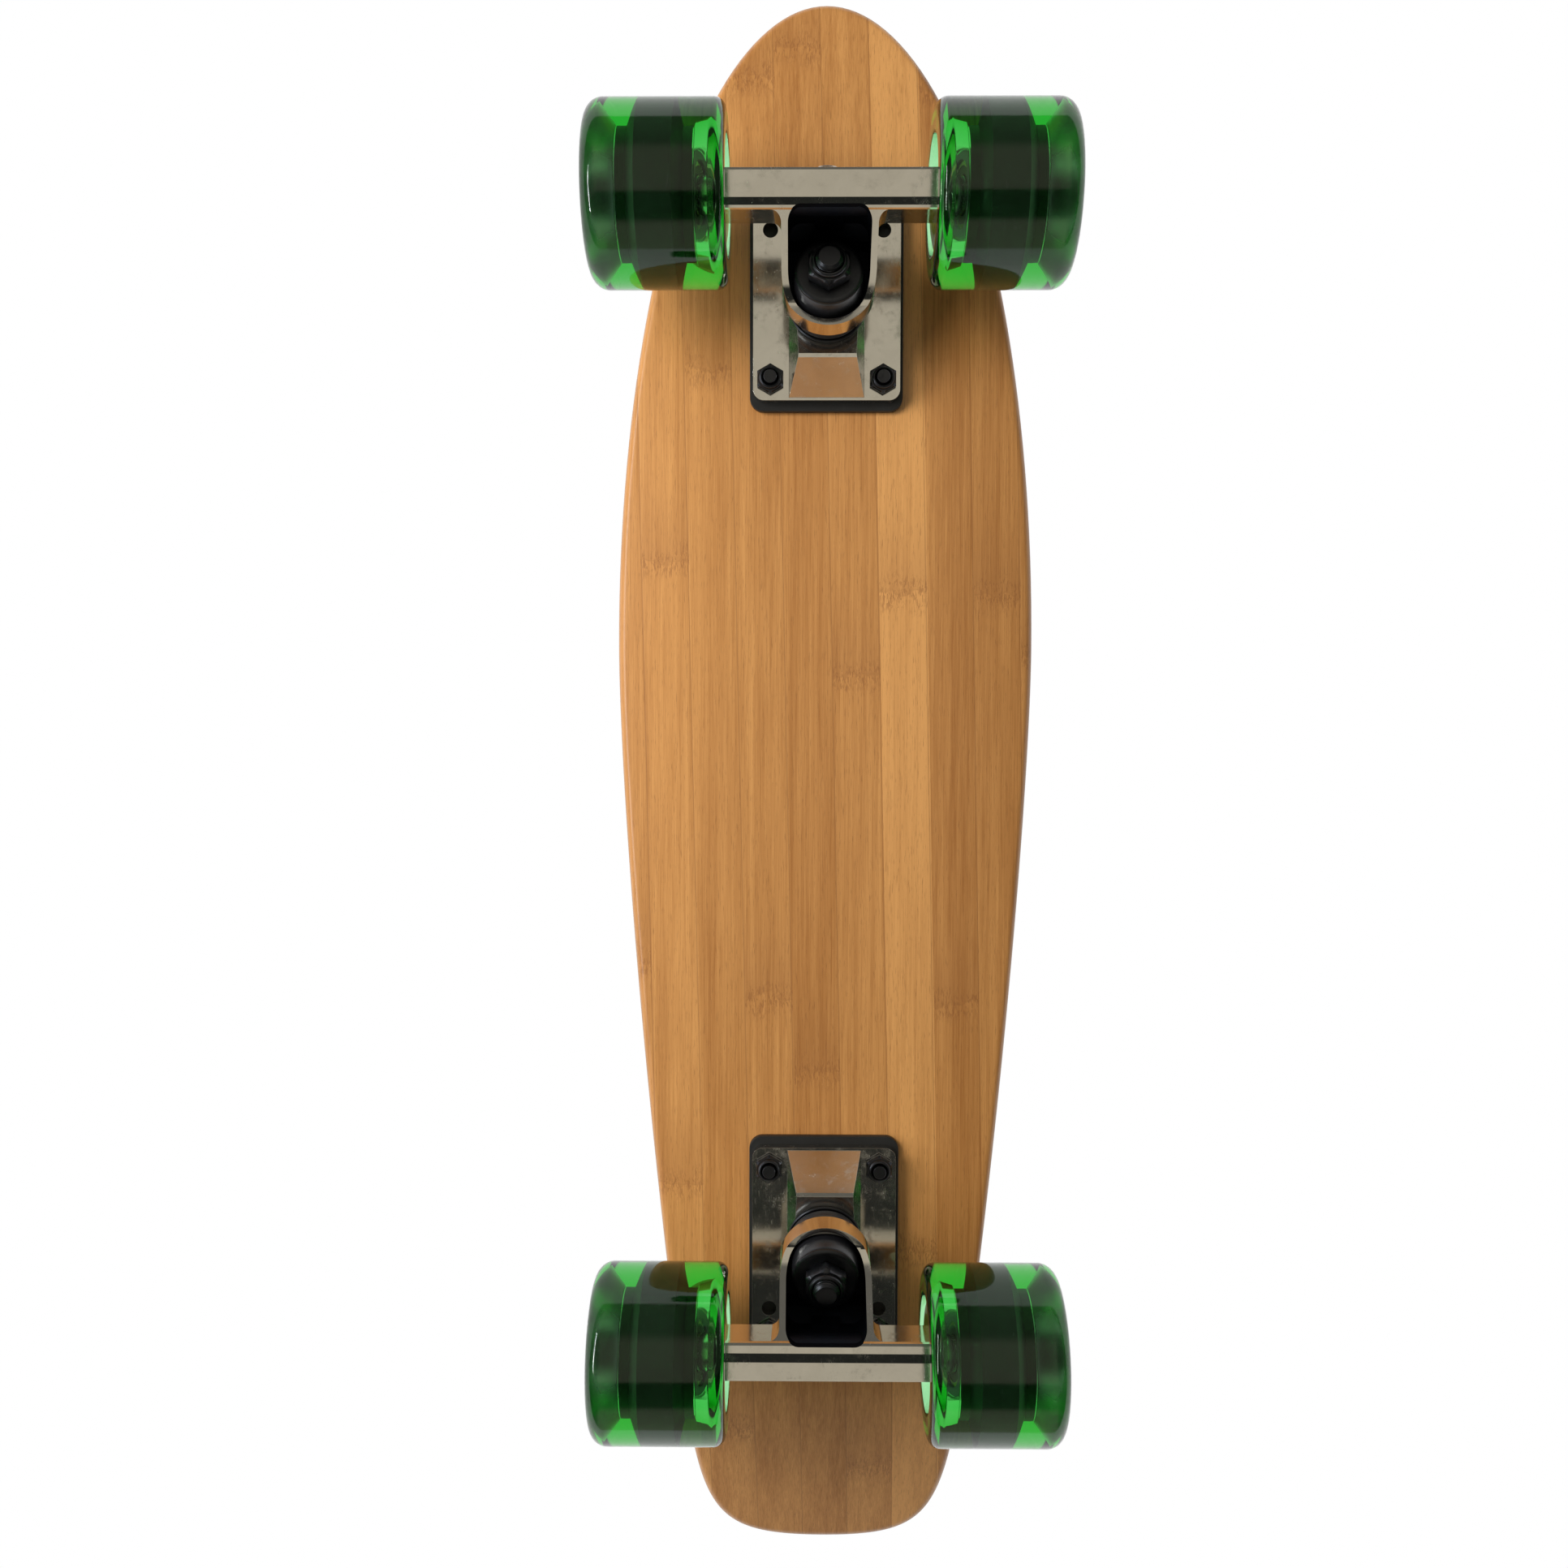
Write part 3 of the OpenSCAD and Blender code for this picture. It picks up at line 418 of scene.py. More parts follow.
def grip():
    """Black grit sheet: fine sharp grains with a few that glint."""
    material, tree, shader, place = finish("grip_grit", Roughness=0.8)
    grains = put(tree, "ShaderNodeTexVoronoi", {"Vector": place, "Scale": 2300.0}, feature="F1").outputs
    fine = noise(tree, place, 5200.0, 3.0)
    worn = noise(tree, place, 14.0, 5.0)
    glint = put(tree, "ShaderNodeSeparateColor", {0: grains["Color"]}).outputs[0]
    dust = calc(tree, "MULTIPLY", step(tree, worn, 0.45, 0.75), 0.35)
    black = mixed(tree, fine, (0.006, 0.006, 0.0065, 1), (0.034, 0.034, 0.036, 1))
    black = mixed(tree, dust, black, (0.05, 0.048, 0.045, 1))
    black = mixed(tree, calc(tree, "GREATER_THAN", glint, 0.93), black, (0.16, 0.16, 0.165, 1))
    tree.links.new(black, shader.inputs["Base Color"])
    tree.links.new(spanned(tree, glint, 0.92, 0.45), shader.inputs["Roughness"])
    peaks = calc(tree, "SUBTRACT", 1.0, grains["Distance"])
    relief = calc(tree, "ADD", calc(tree, "MULTIPLY", fine, 0.6), peaks)
    bumped(tree, shader, relief, 0.9, 0.00018)
    return material


def moulded(name, dark, light, rough, pebble, coat=0.0):
    """Moulded black rubber or plastic: faint flow marks, a fine skin and paler handled spots."""
    material, tree, shader, place = finish(name, Coat_Weight=coat, Coat_Roughness=0.25)
    skin = noise(tree, place, pebble, 3.0)
    flow = noise(tree, place, 60.0, 4.0, 0.6, 0.8)
    scuff = step(tree, noise(tree, stretched(tree, place, (900, 160, 400)), 1.0, 4.0, 0.7), 0.6, 0.74)
    tone = mixed(tree, flow, dark, light)
    scuffed = tuple(3 * c for c in light[:3]) + (1,)
    tone = mixed(tree, calc(tree, "MULTIPLY", scuff, 0.25), tone, scuffed)
    tree.links.new(tone, shader.inputs["Base Color"])
    tree.links.new(calc(tree, "ADD", spanned(tree, flow, rough - 0.08, rough + 0.08),
                        calc(tree, "MULTIPLY", scuff, 0.12)), shader.inputs["Roughness"])
    bumped(tree, shader, calc(tree, "ADD", skin, calc(tree, "MULTIPLY", flow, 0.5)), 0.3, 0.00006)
    return material


def metal(name, dark, light, rough, brushed=(1.0, 1.0, 1.0), dents=0.12):
    """Bare or blackened metal: hairline scratches, clouded patches and dulled spots, with painted shade on
    faces marked as pocket.
    """
    material, tree, shader, place = finish(name, Metallic=1.0)
    cloud = noise(tree, place, 75.0, 5.0, 0.62, 0.4)
    patch = step(tree, noise(tree, place, 210.0, 4.0, 0.7), 0.5, 0.72)
    hair = noise(tree, stretched(tree, place, tuple(2600 * b for b in brushed)), 1.0, 2.0, 0.5, 0.2)
    scratch = noise(tree, stretched(tree, place, (1900, 230, 700)), 1.0, 2.0, 0.4, 2.5)
    scratch = step(tree, scratch, 0.66, 0.7)
    tone = mixed(tree, cloud, dark, light)
    tone = mixed(tree, calc(tree, "MULTIPLY", patch, 0.35), tone, dark)
    # Faces marked as pocket get painted shade: a near-black colour for the shade in the hollow between the
    # yoke's arms, with a rougher finish
    pocket_shade = put(tree, "ShaderNodeAttribute",
                 attribute_name="pocket_shade", attribute_type="GEOMETRY").outputs["Fac"]
    tone = mixed(tree, pocket_shade, tone, (0.02, 0.022, 0.03, 1))
    tree.links.new(tone, shader.inputs["Base Color"])
    dull = calc(tree, "ADD", calc(tree, "MULTIPLY", patch, 0.14), calc(tree, "MULTIPLY", scratch, 0.12))
    dull = calc(tree, "ADD", dull, calc(tree, "MULTIPLY", pocket_shade, 0.4))
    tree.links.new(calc(tree, "ADD", spanned(tree, cloud, rough - 0.05, rough + 0.06), dull, clamp=True),
                   shader.inputs["Roughness"])
    wave = noise(tree, place, 95.0, 2.0)
    relief = calc(tree, "ADD", calc(tree, "MULTIPLY", hair, 0.25), calc(tree, "MULTIPLY", scratch, -0.5))
    relief = calc(tree, "ADD", relief, calc(tree, "MULTIPLY", wave, 3.0))
    bumped(tree, shader, relief, dents, 0.00002)
    return material


def clear_green():
    """Clear green cast urethane: polished skin with fine rubbing, colour in its depth."""
    material, tree, shader, place = finish(
        "clear_urethane", Transmission_Weight=1.0, IOR=1.47, Base_Color=(0.93, 0.99, 0.94, 1))
    cloud = noise(tree, place, 90.0, 4.0, 0.6)
    rub = noise(tree, stretched(tree, place, (160, 1500, 1500)), 1.0, 3.0)
    # The dished outer faces are frosted: near the axle and on the wheel's outer half
    x, y, z = put(tree, "ShaderNodeSeparateXYZ", {0: place}).outputs
    front = calc(tree, "LESS_THAN", y, 0.0)
    axle_y = calc(tree, "SUBTRACT", AXLE_Y["rear"] * MM,
                  calc(tree, "MULTIPLY", front, (AXLE_Y["rear"] - AXLE_Y["front"]) * MM))
    lengthwise = calc(tree, "POWER", calc(tree, "SUBTRACT", y, axle_y), 2.0)
    upright = calc(tree, "POWER", calc(tree, "SUBTRACT", z, WHEEL_R * MM), 2.0)
    radius = calc(tree, "SQRT", calc(tree, "ADD", lengthwise, upright))
    frost = calc(tree, "MULTIPLY", step(tree, radius, 0.0222, 0.0212),
                 step(tree, calc(tree, "ABSOLUTE", x), 0.062, 0.064))
    rough = calc(tree, "ADD", spanned(tree, cloud, 0.0, 0.035), calc(tree, "MULTIPLY", rub, 0.02))
    tree.links.new(calc(tree, "ADD", rough, calc(tree, "MULTIPLY", frost, 0.32)), shader.inputs["Roughness"])
    bumped(tree, shader, calc(tree, "ADD", calc(tree, "MULTIPLY", cloud, 3.0), rub), 0.1, 0.00003)
    depth = put(tree, "ShaderNodeVolumeAbsorption")
    depth.inputs["Color"].default_value = (0.03, 0.8, 0.14, 1)
    depth.inputs["Density"].default_value = 80.0
    output = next(n for n in tree.nodes if n.type == "OUTPUT_MATERIAL")
    tree.links.new(depth.outputs[0], output.inputs["Volume"])
    return material


FINISH = {
    "bamboo": bamboo(),
    "grip_tape": grip(),
    "riser_rubber": moulded("riser_rubber", (0.008, 0.008, 0.008, 1), (0.02, 0.02, 0.02, 1), 0.55, 2500.0),
    "polished_alloy": metal("polished_alloy", (0.62, 0.60, 0.55, 1), (0.84, 0.82, 0.77, 1), 0.11),
    "black_hardware": metal("black_hardware", (0.035, 0.036, 0.04, 1), (0.075, 0.077, 0.085, 1), 0.36,
                            dents=0.2),
    "bushing_urethane": moulded("bushing_urethane", (0.007, 0.007, 0.009, 1), (0.018, 0.018, 0.021, 1),
                                0.34, 1500.0, 0.3),
    "bearing_steel": metal("bearing_steel", (0.45, 0.45, 0.44, 1), (0.68, 0.68, 0.66, 1), 0.2, (0.2, 1, 1)),
    "shield_black": moulded("seal_rubber", (0.008, 0.008, 0.008, 1), (0.02, 0.02, 0.02, 1), 0.5, 3000.0),
    "wheel_urethane": clear_green(),
    "core_plastic": moulded("core_nylon", (0.029, 0.023, 0.036, 1), (0.07, 0.053, 0.082, 1), 0.5, 1800.0),
}


# ---- Finished pieces ----------------------------------------------------------------------

def smoothed(mesh):
    """Smooth faces with sharp edges where two faces meet at a corner."""
    shape = bmesh.new()
    shape.from_mesh(mesh)
    for face in shape.faces:
        face.smooth = True
    for edge in shape.edges:
        edge.smooth = not (edge.is_manifold and edge.calc_face_angle(0.0) > SHARP)
    shape.to_mesh(mesh)
    shape.free()


def outward(mesh):
    """Closes doubles and turns all faces outwards."""
    shape = bmesh.new()
    shape.from_mesh(mesh)
    bmesh.ops.remove_doubles(shape, verts=shape.verts, dist=1e-7)
    bmesh.ops.recalc_face_normals(shape, faces=shape.faces)
    shape.to_mesh(mesh)
    shape.free()


def piece(name, meshes, body, slot, *nodes):
    """One object of the given meshes that rides on a body and stands for the CAD nodes."""
    shape = bmesh.new()
    for mesh in meshes:
        shape.from_mesh(mesh)
    joined = bpy.data.meshes.new(name)
    shape.to_mesh(joined)
    shape.free()
    smoothed(joined)
    # Broad flat faces keep their own direction; the roundings between them do the turning
    joined = modified(joined, "WEIGHTED_NORMAL", keep_sharp=True, weight=90)
    joined.name = name
    joined.materials.clear()
    joined.materials.append(FINISH[slot])
    thing = bpy.data.objects.new(name, joined)
    bpy.context.scene.collection.objects.link(thing)
    if body:
        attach(thing, body)
    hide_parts(*nodes)
    return thing


TURNING_R = 20
ROUND = 1000.0


def turned(outline, slot, place, flats=ROUND, segments=96):
    """Mesh of a closed outline of (radius, height) pairs in millimetres, turned round place."""
    mesh = bpy.data.meshes.new("outline")
    points = [((r - TURNING_R) * MM, -h * MM, 0) for r, h in outline]
    mesh.from_pydata(points, [(k, (k + 1) % len(points)) for k in range(len(points))], [])
    made = grown(mesh, TURNED, {"Turning radius": TURNING_R * MM, "Segments": segments,
                                "Across flats": flats * MM, "Finish": FINISH[slot]})
    outward(made)
    made.transform(place)
    return made


def bend(centre, radius, start, end, steps=5):
    """Points of an arc about centre, from start to end in degrees."""
    turns = [math.radians(start + (end - start) * k / steps) for k in range(steps + 1)]
    return [(centre[0] + radius * math.cos(a), centre[1] + radius * math.sin(a)) for a in turns]


def thread(radius, turns, length, ridge, slot, place):
    made = grown(bpy.data.meshes.new("path"), THREAD, {
        "Radius": radius * MM, "Turns": float(turns), "Length": length * MM, "Ridge": ridge * MM,
        "Finish": FINISH[slot]})
    outward(made)
    made.transform(place)
    return made


def copies(mesh, slot, places, place):
    """Copies of a mesh at a list of places, within a frame."""
    points = bpy.data.meshes.new("places")
    points.from_pydata([tuple(c * MM for c in p) for p in places], [], [])
    template = bpy.data.objects.new("template", mesh)
    made = grown(points, COPIES, {"Piece": template, "Finish": FINISH[slot]})
    bpy.data.objects.remove(template)
    made.transform(place)
    return made


def softened(node, width, rounds=3):
    """A copy of a CAD node's mesh with its sharp edges rounded by width millimetres."""
    long_edge = 8 * MM
    slight, corner = math.radians(6), math.radians(32)
    shape = bmesh.new()
    shape.from_mesh(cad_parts[node].data)
    bmesh.ops.remove_doubles(shape, verts=shape.verts, dist=2e-6)
    bmesh.ops.dissolve_limit(shape, angle_limit=math.radians(0.6), verts=shape.verts, edges=shape.edges)
    weights = shape.edges.layers.float.new("bevel_weight_edge")
    for edge in shape.edges:
        bent = edge.calc_face_angle(0.0)
        way = edge.verts[1].co - edge.verts[0].co
        # Long edges across the board are rounded even where the faces hardly turn
        crosswise = way.length > long_edge and abs(way.x) > 0.99 * way.length
        edge[weights] = float(bent > corner or (crosswise and bent > slight))
    mesh = bpy.data.meshes.new(node + "_soft")
    shape.to_mesh(mesh)
    shape.free()
    return modified(mesh, "BEVEL", width=width * MM, segments=rounds, limit_method="WEIGHT")


# ---- Deck and grip tape ---------------------------------------------------------------------

HALF_W = 78.5
WIDEST_Y = -59
NOSE_LEN = 240
TAIL_Y = 299
CORNER_Y = 257.5
HALF_TAIL = 50.25
ROWS_ACROSS = (0.985, 0.96, 0.92, 0.87, 0.81, 0.74, 0.66, 0.58, 0.5, 0.4, 0.3, 0.2, 0.1)
END_KEEP = 0.25


def cubic(p, t):
    weights = ((1 - t) ** 3, 3 * t * (1 - t) ** 2, 3 * t * t * (1 - t), t ** 3)
    return [sum(w * q[i] for w, q in zip(weights, p)) for i in (0, 1)]


def board_outline():
    """Right half of the outline from the nose tip to the middle of the tail's end."""
    side = [(HALF_W, WIDEST_Y), (HALF_W, WIDEST_Y + 50),
            (HALF_TAIL + 18.2, CORNER_Y - 130), (HALF_TAIL, CORNER_Y)]
    tail = [(HALF_TAIL, CORNER_Y), (HALF_TAIL - 5.8, CORNER_Y + 33.2), (0.7 * HALF_TAIL, TAIL_Y), (0, TAIL_Y)]
    nose = [math.radians(90 * k / 44) for k in range(45)]
    points = [(HALF_W * math.sin(a), WIDEST_Y - NOSE_LEN * math.cos(a)) for a in nose]
    points += [cubic(side, k / 60) for k in range(1, 61)]
    points += [cubic(tail, k / 32) for k in range(1, 33)]
    return points


OUTLINE = board_outline()


def drawn_in(y, share):
    """Rows run straight across between the kicks and close in at both ends."""
    keep = END_KEEP + (1 - END_KEEP) * share
    if y > TAIL_KICK_Y:
        return TAIL_KICK_Y + (y - TAIL_KICK_Y) * keep
    if y < NOSE_KICK_Y:
        return NOSE_KICK_Y - (NOSE_KICK_Y - y) * keep
    return y


def inset_points(inset):
    """The half outline moved inwards by inset."""
    last = len(OUTLINE) - 1
    points = []
    for i, (x, y) in enumerate(OUTLINE):
        ax, ay = OUTLINE[i + 1] if i < last else (-OUTLINE[i - 1][0], OUTLINE[i - 1][1])
        bx, by = OUTLINE[i - 1] if i else (-OUTLINE[1][0], OUTLINE[1][1])
        size = math.hypot(ax - bx, ay - by)
        points.append((x - inset * (ay - by) / size, y + inset * (ax - bx) / size))
    return points


def board_mesh(edge):
    """Flat closed board; edge is a list of (inset, height) from the underside to the top."""
    last = len(OUTLINE) - 1
    rows = [(edge[0][0], edge[0][1], s) for s in reversed(ROWS_ACROSS)]
    rows += [(inset, height, 1.0) for inset, height in edge]
    rows += [(edge[-1][0], edge[-1][1], s) for s in ROWS_ACROSS]
    shape = bmesh.new()
    loops = []
    for inset, height, share in rows:
        half = [(share * x, drawn_in(y, share)) for x, y in inset_points(inset)]
        flat = half + [(-x, y) for x, y in half[last - 1:0:-1]]
        loops.append([shape.verts.new((x * MM, y * MM, height * MM)) for x, y in flat])
    for low, high in zip(loops, loops[1:]):
        for k in range(len(low)):
            m = (k + 1) % len(low)
            shape.faces.new((low[k], low[m], high[m], high[k]))
    for ring in (loops[0], loops[-1]):
        # Close the middle with straight rows between the two long sides
        for k in range(last):
            a, b, c, d = k, k + 1, (2 * last - k - 1) % (2 * last), (2 * last - k) % (2 * last)
            corners = [ring[a], ring[b], ring[c], ring[d]]
            shape.faces.new(list(dict.fromkeys(corners)))
    bmesh.ops.recalc_face_normals(shape, faces=shape.faces)
    mesh = bpy.data.meshes.new("board")
    shape.to_mesh(mesh)
    shape.free()
    return mesh


def bolt_places(rows):
    return [(side * ROW_X / 2, -row, 0) for row in rows for side in (-1, 1)]


def bored(mesh, outline):
    """The mesh with an outline of (radius, height) turned out of it at each bolt."""
    drill = turned(outline, "bamboo", Matrix.Identity(4), segments=40)
    cutters = [copies(drill, "bamboo", bolt_places((0, ROW_LONG)), TRUCK[end]) for end in ENDS]
    shape = bmesh.new()
    for cutter in cutters:
        shape.from_mesh(cutter)
    tool_mesh = bpy.data.meshes.new("drills")
    shape.to_mesh(tool_mesh)
    shape.free()
    tool = bpy.data.objects.new("drills", tool_mesh)
    bpy.context.scene.collection.objects.link(tool)
    result = modified(mesh, "BOOLEAN", object=tool, operation="DIFFERENCE", solver="EXACT")
    bpy.data.objects.remove(tool)
    return result


EDGE_LOW = 3.0
EDGE_TOP = 2.2
BOARD_TOP = DECK_T + TAPE_T
BOLT_HOLE = 2.75
SINK_R = 5
SINK_DEPTH = 3
TAPE_BEVEL = 0.2


def pressed(mesh, slot):
    return grown(mesh, PRESSED, {"Finish": FINISH[slot]})


def board_layers():
    """The pressed board and its grip sheet, both bored and countersunk for the bolts."""
    low = bend((EDGE_LOW, EDGE_LOW), EDGE_LOW, 270, 180, 7)
    top = bend((EDGE_TOP, DECK_T - EDGE_TOP), EDGE_TOP, 180, 90, 5)
    sink = [(0, -2), (BOLT_HOLE, -2), (BOLT_HOLE, BOARD_TOP - SINK_DEPTH), (SINK_R, BOARD_TOP - 0.2),
            (SINK_R, BOARD_TOP + 4), (0, BOARD_TOP + 4)]
    board = bored(pressed(board_mesh(low + top), "bamboo"), sink)
    piece("deck_board", [board], "deck", "bamboo", "deck")
    rim = [(EDGE_TOP, DECK_T), (EDGE_TOP, BOARD_TOP - TAPE_BEVEL), (EDGE_TOP + 0.15, BOARD_TOP)]
    tape = bored(pressed(board_mesh(rim), "grip_tape"), sink)
    piece("grip_sheet", [tape], "deck", "grip_tape", "grip_tape")
    return tape


def grip_grains(tape):
    """Coarse grains strewn over the sheet's top face."""
    upright = 0.7
    bed = bmesh.new()
    bed.from_mesh(tape)
    under = [f for f in bed.faces if f.normal.z < upright]
    bmesh.ops.delete(bed, geom=under, context="FACES")
    top_only = bpy.data.meshes.new("grit_bed")
    bed.to_mesh(top_only)
    bed.free()
    grains = grown(top_only, GRIT, {
        "Grains per square metre": 90000.0, "Smallest grain": 0.00008, "Largest grain": 0.0002,
        "Seed": 11, "Finish": FINISH["grip_tape"]})
    piece("grip_grains", [grains], "deck", "grip_tape")


grip_grains(board_layers())


# ---- Trucks -----------------------------------------------------------------------------------

RISER_T = 3
PLATE_T = 5
NUT_T = 4.6
NUT_ACROSS = 9.5
NUT_BORE = 2.4
KINGPIN_R = 4.75
THREAD_CUT = 0.35
PIN_BORE = KINGPIN_R + 0.2
SEAT_WASHER_T = 1.2
BOARD_BUSHING_T = 9.5
RING_S = SEAT_WASHER_T + BOARD_BUSHING_T
RING_TOP_S = RING_S + 4
ROAD_BUSHING_T = 9
ROAD_END_S = RING_TOP_S + ROAD_BUSHING_T
CUP_WASHER_T = 1.5
NUT_S = ROAD_END_S + CUP_WASHER_T
KINGPIN_NUT_T = 7
KINGPIN_NUT_ACROSS = 14
KINGPIN_END_S = NUT_S + KINGPIN_NUT_T + 2.3
KINGPIN_THREAD = 9
HALF_AXLE = 79
AXLE_R = 4
AXLE_THREAD = 8
AXLE_NUT_T = 6.5
AXLE_NUT_ACROSS = 12.7
SPEED_WASHER_T = 1
POCKET_HALF = 14.3
POCKET_END_Y = -44.6


def lock_nut(across, height, bore, place):
    """Hexagon nut with chamfered corners and a rolled collar over its locking ring."""
    corner = across / 2 / math.cos(math.pi / 6)
    hexagon = height - 1.8
    collar = across * 0.435
    outline = [(bore, 0.3), (bore + 0.5, 0), (across / 2 - 0.1, 0), (corner, 0.7), (corner, hexagon - 0.8),
               (across / 2 - 0.2, hexagon), (collar, hexagon + 0.05)]
    outline += bend((collar - 0.9, height - 0.9), 0.9, 0, 90, 4)
    outline += [(bore + 0.9, height - 0.1), (bore + 0.3, height - 0.5), (bore, height - 0.9)]
    return turned(outline, "black_hardware", place, flats=across, segments=72)


def mount(end):
    """Riser pad, baseplate, the bolts and nuts that hold them, and the pivot cup."""
    rounded = (("riser", "riser_pad_", 0.35, 3, "riser_rubber"),
               ("baseplate", "baseplate_", 0.8, 3, "polished_alloy"),
               ("bolts", "mounting_bolts_", 0.15, 1, "black_hardware"))
    for part, node, width, rounds, slot in rounded:
        piece(f"{end}_{part}", [softened(node + end, width, rounds)], "deck", slot, node + end)
    nut = lock_nut(NUT_ACROSS, NUT_T, NUT_BORE, turn(180, "X"))
    under_plate = -RISER_T - PLATE_T
    places = [(x, y, under_plate) for x, y, _ in bolt_places((0, ROW_LONG))]
    piece(f"{end}_nuts", [copies(nut, "black_hardware", places, TRUCK[end])], "deck", "black_hardware",
          "mounting_nuts_" + end)
    cup = [(0, -8), (7.5, -8), (8, -7.4), (8, 2), (6.9, 2)] + bend((0, 0), 6.3, 0, -90, 8)
    piece(f"{end}_pivot_cup", [turned(cup, "bushing_urethane", PIVOT[end])], "deck", "bushing_urethane",
          "pivot_cup_" + end)


def kingpin(end):
    """Kingpin with its captive head and thread, both washers and the nut."""
    pin, top = KINGPIN[end], KINGPIN_END_S
    cut_r = KINGPIN_R - THREAD_CUT
    rod = [(0, -16), (7, -16), (7.5, -15.5), (7.5, -11), (7, -10.5), (KINGPIN_R, -10.5),
           (KINGPIN_R, top - KINGPIN_THREAD - 0.4), (cut_r, top - KINGPIN_THREAD), (cut_r, top - 0.9),
           (KINGPIN_R - 1.1, top - 0.1), (KINGPIN_R - 1.6, top), (0, top)]
    cut = thread(cut_r, 6.5, KINGPIN_THREAD - 1, 0.34, "black_hardware",
                 pin @ move(0, 0, top - KINGPIN_THREAD))
    piece(f"{end}_kingpin", [turned(rod, "black_hardware", pin, segments=64), cut], "deck",
          "black_hardware", "kingpin_" + end)
    seat = [(PIN_BORE, 0), (13.2, 0), (13.5, 0.3), (13.5, 0.9), (13.2, SEAT_WASHER_T),
            (PIN_BORE, SEAT_WASHER_T)]
    piece(f"{end}_seat_washer", [turned(seat, "black_hardware", pin)], "deck", "black_hardware",
          "seat_washer_" + end)
    cupped = [(PIN_BORE, 0), (10.4, 0), (11.5, -0.2), (11.8, 0.1), (11.8, 0.9), (11.2, 1.3),
              (10.2, CUP_WASHER_T), (PIN_BORE, CUP_WASHER_T)]
    cupped = [(r, h + ROAD_END_S) for r, h in cupped]
    piece(f"{end}_cup_washer", [turned(cupped, "black_hardware", pin)], "deck", "black_hardware",
          "cup_washer_" + end)
    nut = lock_nut(KINGPIN_NUT_ACROSS, KINGPIN_NUT_T, KINGPIN_R, pin @ move(0, 0, NUT_S))
    piece(f"{end}_kingpin_nut", [nut], "deck", "black_hardware", "kingpin_nut_" + end)


def bushings(end):
    """The barrel on the deck's side of the ring and the cone on its road side."""
    foot, top = SEAT_WASHER_T, RING_S
    barrel = [(PIN_BORE, foot), (12.2, foot), (12.8, foot + 0.5), (13, foot + 1.6)]
    barrel += bend((9.0, foot + BOARD_BUSHING_T / 2), 4.0, -25, 25, 6)
    barrel += [(12.9, top - 1.2), (12.2, top), (PIN_BORE, top)]
    foot, top = RING_TOP_S, ROAD_END_S
    cone = [(PIN_BORE, foot), (12.2, foot), (12.6, foot + 0.8), (12.55, foot + 3), (12.3, foot + 5),
            (11.7, top - 1.4), (11.3, top - 0.5), (10.7, top), (PIN_BORE, top)]
    for part, outline, fixed, moving in (("board_bushing", barrel, SEAT_WASHER_T, RING_S),
                                         ("road_bushing", cone, ROAD_END_S, RING_TOP_S)):
        bushing = piece(f"{end}_{part}", [turned(outline, "bushing_urethane", KINGPIN[end])], None,
                        "bushing_urethane", f"{part}_{end}")
        blend_bushing(bushing)


def mark_shaded_pocket(mesh, end):
    """Marks the faces that look into the hollow between the yoke's arms, where the finish paints shade."""
    to_pin, to_base = KINGPIN[end].inverted(), TRUCK[end].inverted()
    marks = mesh.attributes.new("pocket_shade", "FLOAT", "FACE")
    for face in mesh.polygons:
        corners = [to_pin @ mesh.vertices[k].co / MM for k in face.vertices]
        between = all(abs(c.x) < POCKET_HALF and (c.y > 0 or c.xy.length < POCKET_HALF) for c in corners)
        before = face.center + face.normal * 0.4 * MM
        inboard = (to_base @ before / MM).y > POCKET_END_Y
        above_ring = (to_pin @ before / MM).z > RING_TOP_S + 0.1
        marks.data[face.index].value = float(between and inboard and above_ring)


def hanger(end):
    """The casting with its axle, speed washers and axle nuts."""
    body, axle, half = "hanger_" + end, AXLE[end], HALF_AXLE
    casting = softened(body, 0.6)
    # The hollow between the yoke's arms is painted near-black as shade
    mark_shaded_pocket(casting, end)
    piece(f"{end}_hanger", [casting], body, "polished_alloy", body)
    cut_r = AXLE_R - THREAD_CUT
    shaft = [(0, -half), (3, -half), (3.4, -half + 0.4), (cut_r, -half + 1), (cut_r, -half + AXLE_THREAD),
             (AXLE_R, -half + AXLE_THREAD + 0.4)]
    shaft += [(r, -h) for r, h in reversed(shaft)]
    parts = [turned(shaft, "bearing_steel", axle, segments=64)]
    for start in (-half + 0.8, half - AXLE_THREAD):
        parts.append(thread(cut_r, 6.5, 7.2, 0.33, "bearing_steel", axle @ move(0, 0, start)))
    piece(f"{end}_axle", parts, body, "bearing_steel", "axle_" + end)
    washer = [(AXLE_R, 0), (5.8, 0), (6, 0.2), (6, 0.8), (5.8, SPEED_WASHER_T), (AXLE_R, SPEED_WASHER_T)]
    inner, outer = 44, 69
    starts = (inner, outer, -inner - SPEED_WASHER_T, -outer - SPEED_WASHER_T)
    rings = [turned(washer, "bearing_steel", axle @ move(0, 0, z), segments=64) for z in starts]
    piece(f"{end}_speed_washers", rings, body, "bearing_steel", "speed_washers_" + end)
    ends = [side @ move(0, 0, outer + SPEED_WASHER_T) for side in (axle, axle @ turn(180, "X"))]
    nuts = [lock_nut(AXLE_NUT_ACROSS, AXLE_NUT_T, AXLE_R, place) for place in ends]
    piece(f"{end}_axle_nuts", nuts, body, "black_hardware", "axle_nuts_" + end)


def blend_bushing(bushing):
    """Bakes the bushing's place into its mesh; it sits between the deck's seat and the leaning hanger, not
    squeezed.
    """
    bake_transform(bushing)


for end in ENDS:
    mount(end)
    kingpin(end)
    bushings(end)
    hanger(end)


# ---- Wheels -----------------------------------------------------------------------------------

